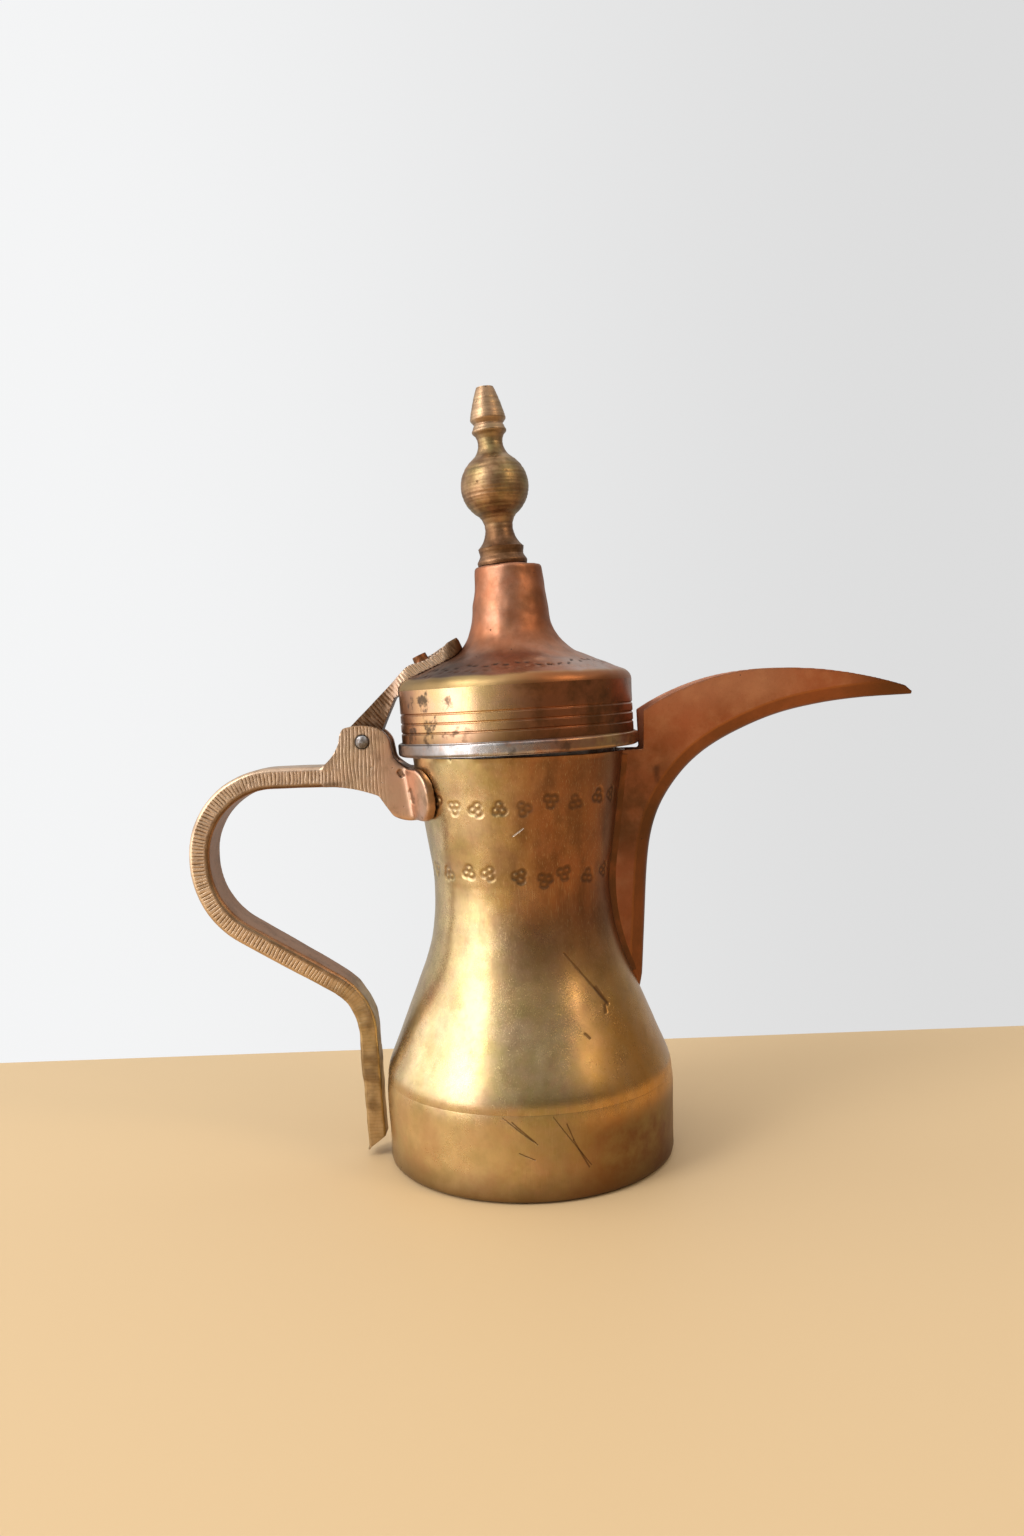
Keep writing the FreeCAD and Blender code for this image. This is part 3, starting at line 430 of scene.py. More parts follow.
def turned_piece(name, node, upright, rounds, step, ease=EDGE_EASE):
    """A finer copy of a turned node, upright on its own axis."""
    points, closed = section_of(node, upright)
    outline = even_outline(points, closed, step, ease)
    angles = np.linspace(0, math.tau, rounds, endpoint=False)
    radius, height = outline[:, :1], outline[:, 1:]
    corners = np.stack((radius * np.cos(angles), radius * np.sin(angles), height + 0 * angles), axis=2)
    rows = len(outline) if closed else len(outline) - 1
    row, column = np.meshgrid(np.arange(rows), np.arange(rounds), indexing="ij")
    above, beside = (row + 1) % len(outline), (column + 1) % rounds
    low, high = row * rounds, above * rounds
    quads = np.stack((low + column, low + beside, high + beside, high + column), axis=2)
    raw = bpy.data.meshes.new(name)
    raw.from_pydata(corners.reshape(-1, 3), [], quads.reshape(-1, 4).tolist())
    work = bmesh.new()
    work.from_mesh(raw)
    bpy.data.meshes.remove(raw)
    return new_piece(name, write_mesh(name, work))


def worked_piece(name, node, voxel, passes):
    """A copy of a forged or folded node with even facets and softened edges."""
    piece = new_piece(name, write_mesh(name, merged_copy(node)))
    remesh = piece.modifiers.new("remesh", "REMESH")
    remesh.mode = "VOXEL"
    remesh.voxel_size = voxel * MM
    remesh.use_smooth_shade = True
    smooth(piece, passes)
    return piece


def smooth(piece, passes, group=""):
    """Smooths a piece, or the points of one group by their weights."""
    smoothing = piece.modifiers.new("smooth", "SMOOTH")
    smoothing.vertex_group = group
    smoothing.factor = SMOOTHING
    smoothing.iterations = passes
    settle(piece)


def settle(piece):
    """Turns what a piece's modifiers make into its plain mesh."""
    graph = bpy.context.evaluated_depsgraph_get()
    mesh = bpy.data.meshes.new_from_object(piece.evaluated_get(graph), depsgraph=graph)
    piece.modifiers.clear()
    raw, piece.data = piece.data, mesh
    bpy.data.meshes.remove(raw)


def points_of(piece, what="co"):
    values = np.empty(len(piece.data.vertices) * 3, np.float32)
    source = piece.data.vertices if what == "co" else piece.data.vertex_normals
    source.foreach_get("co" if what == "co" else "vector", values)
    return values.reshape(-1, 3)


def move_points(piece, points):
    piece.data.vertices.foreach_set("co", points.ravel())
    piece.data.update()


def hold_seams(piece, *seams):
    """Notes where a piece may be hammered: anywhere but by the heights where it meets another."""
    levels = points_of(piece)[:, 2] / MM
    free = np.ones(len(levels))
    for height, ease in seams:
        free *= np.clip(np.abs(levels - height) / ease, 0, 1)
    note(piece, "free", free)


def note(piece, name, values):
    """Keeps a number for each point of a piece, for its shaping and its finish."""
    attribute = piece.data.attributes.new(name, "FLOAT", "POINT")
    attribute.data.foreach_set("value", np.asarray(values, np.float32))


# Shaping rules
def entry_wires(tree):
    entry = tree.nodes.new("NodeGroupInput")
    return {socket.name: Wire(socket) for socket in entry.outputs if socket.name}


def in_metres(sizes):
    """Named sizes with their lengths turned from millimetres to metres."""
    return {name: value if name in ("Count", "Seed") else value * MM for name, value in sizes.items()}


def new_shaping(name, sizes):
    """A geometry tree that takes a mesh, named sizes and a finish. Gives the tree and its inputs."""
    tree = bpy.data.node_groups.new(name, "GeometryNodeTree")
    tree.interface.new_socket("Mesh", in_out="INPUT", socket_type="NodeSocketGeometry")
    for size, value in in_metres(sizes).items():
        socket = tree.interface.new_socket(size, in_out="INPUT", socket_type="NodeSocketFloat")
        socket.default_value = value
    tree.interface.new_socket("Finish", in_out="INPUT", socket_type="NodeSocketMaterial")
    tree.interface.new_socket("Mesh", in_out="OUTPUT", socket_type="NodeSocketGeometry")
    return tree, entry_wires(tree)


def noted(tree, name):
    node = add(tree, "GeometryNodeInputNamedAttribute", {"Name": name}, data_type="FLOAT")
    return out(node, "Attribute")


def end_shaping(tree, inputs, depth, name, value):
    """Presses each point in by a depth, keeps a value of the work under a name, and sets the finish."""
    normal = out(add(tree, "GeometryNodeInputNormal"))
    keep = add(tree, "GeometryNodeStoreNamedAttribute", {"Geometry": inputs["Mesh"], "Name": name})
    join(next(s for s in keep.inputs if s.name == "Value" and s.enabled), value)
    moved = add(tree, "GeometryNodeSetPosition", {"Geometry": out(keep), "Offset": scaled(normal, 0 - depth)})
    real = add(tree, "GeometryNodeRealizeInstances", {"Geometry": out(moved)})
    done = add(tree, "GeometryNodeSetMaterial", {"Geometry": out(real), "Material": inputs["Finish"]})
    join(tree.nodes.new("NodeGroupOutput").inputs["Mesh"], out(done))
    return tree


def shape(piece, tree, finish, **sizes):
    """Runs a shaping rule over a piece. Sizes are named as the rule's inputs, in millimetres."""
    modifier = piece.modifiers.new(tree.name, "NODES")
    modifier.node_group = tree
    wanted = in_metres({name.replace("_", " "): value for name, value in sizes.items()})
    wanted["Finish"] = finish
    for item in tree.interface.items_tree:
        if item.in_out == "INPUT" and item.name in wanted:
            modifier[item.identifier] = wanted.pop(item.name)
    settle(piece)
    if wanted:
        raise KeyError(f"{tree.name} has no input named {sorted(wanted)}")


def hammering():
    """Shallow dishes left by the hammer, and a slow unevenness under them."""
    tree, s = new_shaping("hammering", dict(zip(HAMMER_SIZES, (9, 0.1, 30, 0.2, 0.0, 1))))
    place = out(add(tree, "GeometryNodeInputPosition"))
    shifted = vector_maths("ADD", place, pack(s["Seed"], 0.0, 0.0))
    dish = cells(shifted, 1 / s["Blow width"], "SMOOTH_F1")
    blow = 1 - maths("MINIMUM", dish * dish * 1.6, 1.0)
    sag = cloud(place, 1 / s["Sag width"], 1.0, s["Seed"])
    depth = (blow * s["Blow depth"] + sag * s["Sag depth"] - s["Rise"]) * noted(tree, "free")
    return end_shaping(tree, s, depth, "hammered", blow)


def mark_places(tree, s):
    """Each point's place beside the nearest mark of a row: across, up, and the mark's number."""
    x, y, z = unpack(out(add(tree, "GeometryNodeInputPosition")))
    angle = maths("ARCTAN2", y, x)
    pitch = math.tau / s["Count"]
    number = maths("ROUND", angle / pitch)
    number = number - s["Count"] * maths("FLOOR", number / s["Count"] + 0.5)
    stray = (chance(number, s["Seed"]) - 0.5) * s["Stray"]
    lift = (chance(number, s["Seed"] + 40.5) - 0.5) * s["Stray"] * 1.6
    radius = maths("SQRT", x * x + y * y)
    turn = maths("WRAP", angle - number * pitch, math.pi, -math.pi)
    return turn * radius - stray, z - s["Height"] - lift, number


def trefoil_punching():
    """A row of punched marks round the pot: three beads in a sunk trefoil."""
    sizes = {"Height": 100, "Count": 24, "Stray": 2.2, "Bead spread": 1.2, "Bead radius": 0.75}
    sizes |= {"Bead rise": 0.3, "Sunk radius": 1.75, "Sunk depth": 0.28, "Seed": 1}
    tree, s = new_shaping("trefoil_punching", sizes)
    across, up, number = mark_places(tree, s)
    reach = maths("SQRT", across * across + up * up)
    spin = chance(number, s["Seed"] + 7.5) * math.tau
    sector = maths("WRAP", maths("ARCTAN2", up, across) + spin, math.pi / 3, -math.pi / 3)
    square = reach * reach + s["Bead spread"] * s["Bead spread"]
    from_bead = maths("SQRT", square - 2 * reach * s["Bead spread"] * maths("COSINE", sector))
    strength = 0.55 + 0.45 * chance(number, s["Seed"] + 90.5)
    sunk = ramp(from_bead, s["Sunk radius"] * 0.72, s["Sunk radius"], 1.0, 0.0)
    bead = ramp(from_bead, s["Bead radius"] * 0.25, s["Bead radius"], 1.0, 0.0)
    depth = (sunk * s["Sunk depth"] - bead * s["Bead rise"]) * strength
    return end_shaping(tree, s, depth, "punched", noted(tree, "punched") + (sunk - bead * 0.9) * strength)


def dash_punching():
    """A row of short punched dashes in pairs round the lid's shoulder."""
    sizes = {"Height": 155, "Count": 48, "Stray": 1.0, "Dash length": 2.2, "Dash width": 0.55}
    sizes |= {"Dash depth": 0.25, "Seed": 1}
    tree, s = new_shaping("dash_punching", sizes)
    across, up, number = mark_places(tree, s)
    slant = (chance(number, s["Seed"] + 3.5) - 0.5) * 0.6
    along = across / (s["Dash length"] / 2)
    beside = (up - across * slant) / (s["Dash width"] / 2)
    dash = ramp(along * along + beside * beside, 0.3, 1.3, 1.0, 0.0)
    return end_shaping(tree, s, dash * s["Dash depth"], "punched", dash)


def filing():
    """File strokes across a bar, and a few pits left in the metal."""
    sizes = {"Stroke pitch": 0.9, "Stroke depth": 0.08, "Pit spacing": 4, "Pit radius": 0.5}
    sizes |= {"Pit depth": 0.3, "Wobble": 0.25, "Seed": 1}
    tree, s = new_shaping("filing", sizes)
    place = out(add(tree, "GeometryNodeInputPosition"))
    along, across, side, filed = (noted(tree, name) for name in ("along", "across", "side", "filed"))
    stroke = file_strokes(along, across, s["Stroke pitch"], s["Seed"]) * filed
    pit = pit_spots(place, s["Pit spacing"], s["Pit radius"], 0.3, 0.78)
    wobble = cloud(place, 1 / (9 * MM), 1.0, s["Seed"]) * s["Wobble"]
    depth = stroke * side * s["Stroke depth"] + pit * s["Pit depth"] + wobble
    return end_shaping(tree, s, depth, "pitted", pit)


def lathe_cutting():
    """Fine turned lines round a spindle, with pits."""
    sizes = {"Line pitch": 0.9, "Line depth": 0.09, "Pit spacing": 3, "Pit radius": 0.6}
    sizes |= {"Pit depth": 0.22, "Seed": 1}
    tree, s = new_shaping("lathe_cutting", sizes)
    place = out(add(tree, "GeometryNodeInputPosition"))
    x, y, z = unpack(place)
    lines = pack(x * 4, y * 4, z / s["Line pitch"])
    line = ramp(cloud(lines, 1.0, 1.0, s["Seed"]), 0.42, 0.62)
    pit = pit_spots(place, s["Pit spacing"], s["Pit radius"], 0.2, 0.6)
    return end_shaping(tree, s, line * s["Line depth"] + pit * s["Pit depth"], "turned", line * 0.5 + pit)


# Effects that several finishes share
def new_effect(name, inputs, outputs):
    """A shader group with named inputs and outputs. Gives the tree and its inputs."""
    kinds = {1: "NodeSocketFloat", 3: "NodeSocketVector", 4: "NodeSocketColor"}
    tree = bpy.data.node_groups.new(name, "ShaderNodeTree")
    for title, value in inputs.items():
        count = len(value) if isinstance(value, tuple) else 1
        tree.interface.new_socket(title, in_out="INPUT", socket_type=kinds[count]).default_value = value
    for title, kind in outputs.items():
        tree.interface.new_socket(title, in_out="OUTPUT", socket_type=kinds[kind])
    return tree, entry_wires(tree)


def end_effect(tree, **results):
    leave = tree.nodes.new("NodeGroupOutput")
    for title, value in results.items():
        join(leave.inputs[title], value)
    return tree


def object_place(tree):
    return out(add(tree, "ShaderNodeTexCoord"), "Object")


def mixed(mask, first, second):
    node = add(tree_of(mask, first, second), "ShaderNodeMix", data_type="RGBA")
    for number, value in ((0, mask), (6, first), (7, second)):
        join(node.inputs[number], value)
    return out(node, 2)


def tarnish_effect():
    """Cloudy patches where the metal has dulled."""
    inputs = {"Patch": 20 * MM, "Share": 0.5, "Softness": 0.1, "Run": 1.0, "Seed": 1.0}
    tree, s = new_effect("tarnish", inputs, {"Mask": 1})
    x, y, z = unpack(object_place(tree))
    mist = cloud(pack(x, y, z / s["Run"]), 1 / s["Patch"], 7.0, s["Seed"], 0.62)
    centre = 0.68 - 0.36 * s["Share"]
    return end_effect(tree, Mask=ramp(mist, centre - s["Softness"], centre + s["Softness"]))


def rubbing_effect():
    """Fine rubbed lines in three directions."""
    tree, s = new_effect("rubbing", {"Line width": 0.3 * MM, "Share": 0.3, "Seed": 1.0}, {"Lines": 1})
    lines = None
    for number, angles in enumerate(((0.2, 0.1, 0.3), (1.1, 0.4, 0.9), (0.5, 1.3, 2.1))):
        node = add(tree, "ShaderNodeMapping", {"Vector": object_place(tree), "Rotation": angles})
        node.inputs["Scale"].default_value = (1, 1, 0.03)
        streak = cloud(out(node), 1 / s["Line width"], 1.0, s["Seed"] + number)
        streak = ramp(streak, 0.72 - 0.2 * s["Share"], 0.8 - 0.2 * s["Share"])
        lines = streak if lines is None else maths("MAXIMUM", lines, streak)
    return end_effect(tree, Lines=lines)


def pitting_effect():
    """Small dark pits, here and there."""
    tree, s = new_effect("pitting", {"Spacing": 3 * MM, "Radius": 0.3 * MM, "Share": 0.3}, {"Pits": 1})
    spots = pit_spots(object_place(tree), s["Spacing"], s["Radius"], 0.4, 1 - s["Share"])
    return end_effect(tree, Pits=spots)


# How much depth counts beside a scored line, so that a straight one follows a curved wall
SCORE_FLAT = (1.0, 0.3, 1.0)


def scoring_effect():
    """One scored line between two places on a surface."""
    inputs = {"Start": (0.0, 0.0, 0.0), "End": (0.0, 0.0, 1.0), "Width": 0.4 * MM}
    tree, s = new_effect("scoring", inputs, {"Line": 1})
    spots = (object_place(tree), s["Start"], s["End"])
    place, start, end = (vector_maths("MULTIPLY", spot, SCORE_FLAT) for spot in spots)
    run = vector_maths("SUBTRACT", end, start)
    away = vector_maths("SUBTRACT", place, start)
    length = vector_maths("DOT_PRODUCT", run, run, name="Value")
    share = vector_maths("DOT_PRODUCT", away, run, name="Value") / length
    near = scaled(run, maths("MINIMUM", maths("MAXIMUM", share, 0.0), 1.0))
    distance = vector_maths("LENGTH", vector_maths("SUBTRACT", away, near), name="Value")
    width = s["Width"] * (0.4 + cloud(place, 1 / (3 * MM), 2.0))
    return end_effect(tree, Line=ramp(distance, width * 0.3, width, 1.0, 0.0))


def grain_effect():
    """The fine grain of worked metal."""
    tree, s = new_effect("grain", {"Width": 0.6 * MM}, {"Grain": 1})
    return end_effect(tree, Grain=cloud(object_place(tree), 1 / s["Width"], 4.0))


def stroke_effect():
    """File strokes on a bar, from how far along and across it a place is."""
    inputs = {"Along": 0.0, "Across": 0.0, "Pitch": 1.0 * MM, "Seed": 1.0}
    tree, s = new_effect("file_strokes", inputs, {"Strokes": 1})
    return end_effect(tree, Strokes=file_strokes(s["Along"], s["Across"], s["Pitch"], s["Seed"]))


TARNISH = tarnish_effect()
RUBBING = rubbing_effect()
PITTING = pitting_effect()
SCORING = scoring_effect()
GRAIN = grain_effect()
STROKES = stroke_effect()


# The grain of all the metal: its width and depth in millimetres, and how much it roughens. The depth of pits
GRAIN_WIDTH = 0.6
GRAIN_DEPTH = 0.014
GRAIN_ROUGH = 0.08
PIT_DEPTH = 0.12


# Finishes
class Finish:
    """A metal finish: a colour, a roughness and a relief that effects add to in turn."""

    def __init__(self, name, colour, roughness):
        self.material = bpy.data.materials.new(name)
        self.material.use_nodes = True
        self.tree = self.material.node_tree
        self.shader = self.tree.nodes["Principled BSDF"]
        self.shader.inputs["Metallic"].default_value = 1.0
        self.x, self.y, self.z = unpack(object_place(self.tree))
        self.colour = colour
        self.roughness = roughness
        self.height = None

    def mask(self, effect, result, **inputs):
        """Places an effect in the finish and gives one of its outputs."""
        node = add(self.tree, "ShaderNodeGroup", node_tree=effect)
        for title, value in inputs.items():
            join(node.inputs[title.replace("_", " ")], value)
        return out(node, result)

    def noted(self, name):
        return out(add(self.tree, "ShaderNodeAttribute", attribute_name=name), "Fac")

    def coat(self, mask, colour, rougher=0.0, strength=1.0):
        """Lays a colour over the finish where a mask says, and roughens it there."""
        mask = mask * strength
        self.colour = mixed(mask, self.colour, colour)
        if rougher:
            self.roughness = mask * rougher + self.roughness

    def sink(self, mask, depth):
        """Sinks the relief by a depth in millimetres where a mask says."""
        drop = mask * (-depth * MM)
        self.height = drop if self.height is None else self.height + drop

    def tarnish(self, patch, share, soft, seed, run=1.0):
        """Cloudy patches of a size in millimetres, drawn out upwards if they run."""
        return self.mask(TARNISH, "Mask", Patch=patch * MM, Share=share, Softness=soft, Run=run, Seed=seed)

    def end(self):
        grain = self.mask(GRAIN, "Grain", Width=GRAIN_WIDTH * MM)
        self.sink(grain, GRAIN_DEPTH)
        join(self.shader.inputs["Base Color"], self.colour)
        join(self.shader.inputs["Roughness"], self.roughness + grain * GRAIN_ROUGH)
        bump = add(self.tree, "ShaderNodeBump", {"Height": self.height, "Strength": 1.0, "Distance": 1.0})
        join(self.shader.inputs["Normal"], out(bump))
        return self.material


def patches(finish, colour, patch, share, soft, seed, rougher, strength):
    """Patches of a colour: size in millimetres, share of the surface, softness, seed, roughness, strength."""
    finish.coat(finish.tarnish(patch, share, soft, seed), colour, rougher, strength)


def wear(finish, line, depth, share, seed, colour=UMBER, strength=0.25):
    """Rubbed lines that show as faint colour and relief. Width and depth in millimetres."""
    lines = finish.mask(RUBBING, "Lines", Line_width=line * MM, Share=share, Seed=seed)
    finish.coat(lines, colour, 0.06, strength)
    finish.sink(lines, depth)


def pits(finish, spacing, radius, share):
    """Small dark pits. Spacing and radius in millimetres."""
    holes = finish.mask(PITTING, "Pits", Spacing=spacing * MM, Radius=radius * MM, Share=share)
    finish.coat(holes, SOOT, 0.2, 0.85)
    finish.sink(holes, PIT_DEPTH)


def score(finish, lines, colour=UMBER, depth=0.1):
    """Scored lines between two places, each with its width, in millimetres."""
    for *ends, width in lines:
        start, end = (tuple(value * MM for value in place) for place in ends)
        line = finish.mask(SCORING, "Line", Start=start, End=end, Width=width * MM)
        finish.coat(line, colour, 0.15, 0.7)
        finish.sink(line, depth)


def near_side(*lines):
    """Lines on the pot's near side, from distances across, heights and the pot's radius there."""
    for *ends, width in lines:
        yield *((x, -math.sqrt(radius**2 - x**2), z) for x, z, radius in ends), width


# Scored lines on the near side, in millimetres: across, height, radius, twice, then the width
BODY_SCORES = (
    ((11.3, 69.8, 30.6), (24.1, 53.8, 36.2), 0.5),
    ((20.7, 58.6, 34.2), (24.2, 53.5, 36.3), 1.0),
    ((23.2, 53.4, 36.3), (23.4, 51.5, 37.1), 0.9),
    ((16.5, 46.9, 38.9), (17.9, 45.4, 39.6), 0.6),
)
BODY_NICK = ((-2.7, 106.0, 30.8), (0.4, 108.2, 31.1), 0.4)
PAN_SCORES = (
    ((-8.6, 26.0, 46.3), (1.2, 18.1, 46.3), 0.3),
    ((-6.0, 24.8, 46.4), (0.7, 18.7, 46.3), 0.35),
    ((6.0, 26.0, 46.4), (16.8, 10.3, 46.2), 0.25),
    ((11.7, 18.6, 46.3), (16.1, 9.8, 46.1), 0.4),
    ((9.9, 23.6, 46.4), (11.8, 18.6, 46.3), 0.3),
    ((-4.1, 15.6, 46.2), (0.4, 13.5, 46.2), 0.3),
)


def pot_brass(name, roughness):
    """The brass that the body wall and the base pan share, warmer and browner towards the spout, with painted
    light on the left and a painted amber reflection low on the right.
    """
    finish = Finish(name, BRASS, roughness)
    patches(finish, OLIVE, 24, 0.5, 0.14, 2.0, 0.08, 0.6)
    patches(finish, PALE_BRASS, 14, 0.35, 0.12, 4.0, -0.03, 0.6)
    patches(finish, COPPER, 10, 0.3, 0.14, 9.0, 0.04, 0.35)
    # Paler on the left, where the window light falls: painted light.
    finish.coat(span(finish.x, -8, -28), PALE_BRASS, 0.0, 0.75)
    patches(finish, OLIVE, 9, 0.5, 0.16, 17.0, 0.02, 0.55)
    patches(finish, PINK_BRASS, 7, 0.4, 0.16, 18.0, 0.0, 0.45)
    patches(finish, COPPER, 4, 0.25, 0.14, 19.0, 0.0, 0.3)
    neck = span(finish.z, 46, 84)
    warm = span(finish.x, -14, 8) * (neck * 0.9 + 0.1)
    mist = finish.tarnish(16, 0.7, 0.22, 5.0, 2.2)
    finish.coat(warm * (0.65 + 0.35 * mist), BROWN_COPPER, 0.05, 0.9)
    # Painted reflection: an amber patch low on the right of the belly, where the lamp on the right would
    # reflect.
    lamp_reflection = span(finish.x, 6, 28) * (1 - neck)
    finish.coat(lamp_reflection * (0.45 + 0.55 * mist), AMBER_REFLECTION, 0.0, 0.85)
    streaks = finish.tarnish(7, 0.36, 0.16, 13.0, 2.5) * neck
    finish.coat(streaks * span(finish.x, -24, 6, 0.25, 1.0), UMBER, 0.1, 0.6)
    patches(finish, UMBER, 4, 0.22, 0.16, 15.0, 0.05, 0.25)
    wear(finish, 0.25, 0.008, 0.3, 3.0, UMBER, 0.16)
    wear(finish, 0.2, 0.008, 0.35, 6.0, PALE_BRASS, 0.25)
    return finish


def body_finish():
    finish = pot_brass("body_brass", 0.2)
    sunk = maths("MAXIMUM", finish.noted("punched"), 0.0)
    # Dark in the punched hollows, less so on the left where the marks catch the light: that lighter left is
    # painted light.
    finish.coat(sunk * span(finish.x, -22, 6, 0.55, 1.0), UMBER, 0.15, 0.75)
    pits(finish, 6, 0.35, 0.2)
    score(finish, near_side(*BODY_SCORES))
    score(finish, near_side(BODY_NICK), TIN)
    return finish.end()


def pan_finish():
    finish = pot_brass("pan_brass", 0.2)
    below = span(finish.z, CREASE, CREASE - 9)
    finish.roughness = below * 0.06 + finish.roughness
    # Below the crease: browner and darker towards the right, and paler on the left where the window light
    # falls, which is painted light.
    finish.coat(span(finish.x, -4, 34) * below, BROWN_COPPER, 0.04, 0.85)
    finish.coat(span(finish.x, 0, 34) * below, UMBER, 0.04, 0.7)
    finish.coat(span(finish.x, 2, -16) * below, PALE_BRASS, -0.06, 0.7)
    finish.coat(finish.tarnish(12, 0.5, 0.16, 24.0) * below, OLIVE, 0.04, 0.5)
    left = span(finish.x, 20, -5)
    finish.coat(finish.tarnish(9, 0.4, 0.12, 26.0) * below * left, COPPER, 0.0, 0.35)
    finish.coat(span(finish.z, 12, 0), UMBER, 0.1, 0.7)
    pits(finish, 5, 0.35, 0.25)
    score(finish, near_side(*PAN_SCORES))
    return finish.end()


# The band of the spout's fold: how near its middle line is, and how wide and soft it is, in millimetres
KEEL_BAND = 0.4
FOLD_WIDE = 3.9
FOLD_EASE = 0.8

# Dark spots on the spout's near wall by its root, in millimetres
SPOUT_SPOTS = (
    ((43.5, -9.5, 123.0), (44.0, -9.5, 119.5), 2.4),
    ((42.0, -9.5, 111.0), (42.6, -9.5, 110.0), 2.2),
)


def spout_finish():
    finish = Finish("spout_copper", RED_COPPER, 0.42)
    patches(finish, BROWN_COPPER, 18, 0.5, 0.18, 31.0, 0.04, 0.7)
    patches(finish, COPPER, 9, 0.35, 0.14, 33.0, -0.03, 0.5)
    # Painted light: paler towards the top edge near the body.
    lit_top_edge = span(finish.z, 136, 150) * span(finish.x, 96, 76)
    finish.coat(lit_top_edge, PINK_COPPER, 0.0, 0.3)
    fold = finish.noted("fold")
    # Painted shade: the rounded fold faces down and is darkened, mottled with umber.
    finish.coat(fold, BROWN_COPPER, -0.12, 0.85)
    finish.coat(fold * finish.tarnish(14, 0.6, 0.2, 38.0), UMBER, 0.0, 0.5)
    # Painted reflection: an orange line along the edge of the fold.
    finish.coat(maths("MAXIMUM", fold * (1 - fold) * 4, 0.0), ORANGE_REFLECTION, 0.0, 0.6)
    finish.sink(fold, 0.25)
    # Painted shade: darker in the corner where the spout meets the body, mottled.
    root_shade = span(finish.x, 58, 38) * span(finish.z, 146, 116)
    root_shade = root_shade * span(finish.z, 90, 104, 0.4, 1.0)
    finish.coat(root_shade * (0.45 + 0.55 * finish.tarnish(9, 0.55, 0.16, 36.0)), UMBER, 0.06, 0.85)
    finish.coat(span(finish.x, 96, 116), BROWN_COPPER, 0.02, 0.6)
    finish.coat(span(finish.x, 102, 122), UMBER, 0.02, 0.7)
    score(finish, SPOUT_SPOTS, SOOT, 0.05)
    wear(finish, 0.2, 0.006, 0.3, 11.0)
    pits(finish, 4, 0.25, 0.25)
    return finish.end()


def solder_finish():
    finish = Finish("spout_solder", BROWN_COPPER, 0.32)
    finish.coat(finish.tarnish(6, 0.85, 0.2, 37.0), UMBER, 0.1, 0.8)
    pits(finish, 2.5, 0.25, 0.3)
    return finish.end()


def show_strokes(finish, pitch, seed, depth, strength):
    """The file strokes that the shaping starts, drawn finely where a bar's side is flat."""
    along, across = finish.noted("along"), finish.noted("across")
    strokes = finish.mask(STROKES, "Strokes", Along=along, Across=across, Pitch=pitch * MM, Seed=seed)
    flat = finish.noted("side") * finish.noted("filed")
    finish.coat((1 - strokes) * flat, ROSE_BRASS, -0.05, strength)
    finish.coat(strokes * flat, UMBER, 0.1, strength)
    finish.sink(strokes * flat, depth)


# Pits in the hinge cheek and the saddle, in millimetres
HANDLE_PITS = (
    ((-37.6, -8.0, 124.8), (-37.0, -8.0, 123.8), 1.3),
    ((-34.4, -11.0, 118.6), (-33.6, -11.0, 115.6), 1.5),
)


def handle_finish():
    finish = Finish("handle_brass", PINK_BRASS, 0.38)
    patches(finish, OLIVE, 10, 0.4, 0.15, 43.0, 0.05, 0.5)
    patches(finish, COPPER, 8, 0.4, 0.16, 41.0, 0.03, 0.5)
    across = finish.noted("across")
    loop = span(finish.x, -52, -58)
    finish.coat(span(finish.z, 112, 92), BRASS, 0.0, 0.4)
    # On the loop, the outer bevel is paler and smoother, a painted highlight, and the inner bevel darker,
    # painted shade.
    finish.coat(span(across, -1.7, -2.6) * loop, ROSE_BRASS, -0.1, 0.6)
    finish.coat(span(across, 1.4, 2.0) * loop, UMBER, 0.0, 0.75)
    finish.coat(span(across, 2.9, 3.3) * loop, COPPER, 0.0, 0.5)
    finish.coat(finish.noted("side") * finish.tarnish(6, 0.5, 0.2, 47.0), ROSE_BRASS, -0.04, 0.4)
    saddle = span(finish.x, -47, -39)
    finish.coat(saddle * finish.tarnish(8, 0.7, 0.2, 49.0), PINK_COPPER, -0.05, 0.7)
    show_strokes(finish, HANDLE_STROKE, HANDLE_SEED, 0.12, 0.8)
    patches(finish, UMBER, 5, 0.3, 0.14, 45.0, 0.05, 0.45)
    tail = span(finish.z, 64, 48)
    finish.coat(tail, OLIVE, 0.0, 0.3)
    finish.coat(tail * ramp(finish.noted("hammered"), 0.75, 0.35), UMBER, 0.05, 0.5)
    finish.coat(finish.noted("pitted"), SOOT, 0.2, 0.8)
    around_pin = pack(finish.x - HINGE.x, 0.0, finish.z - HINGE.z)
    from_pin = vector_maths("LENGTH", around_pin, name="Value")
    finish.coat(span(from_pin, 2.9, 2.1), SOOT, 0.2, 0.9)
    score(finish, HANDLE_PITS, UMBER, 0.5)
    wear(finish, 0.25, 0.008, 0.3, 14.0)
    pits(finish, 2.6, 0.28, 0.22)
    return finish.end()


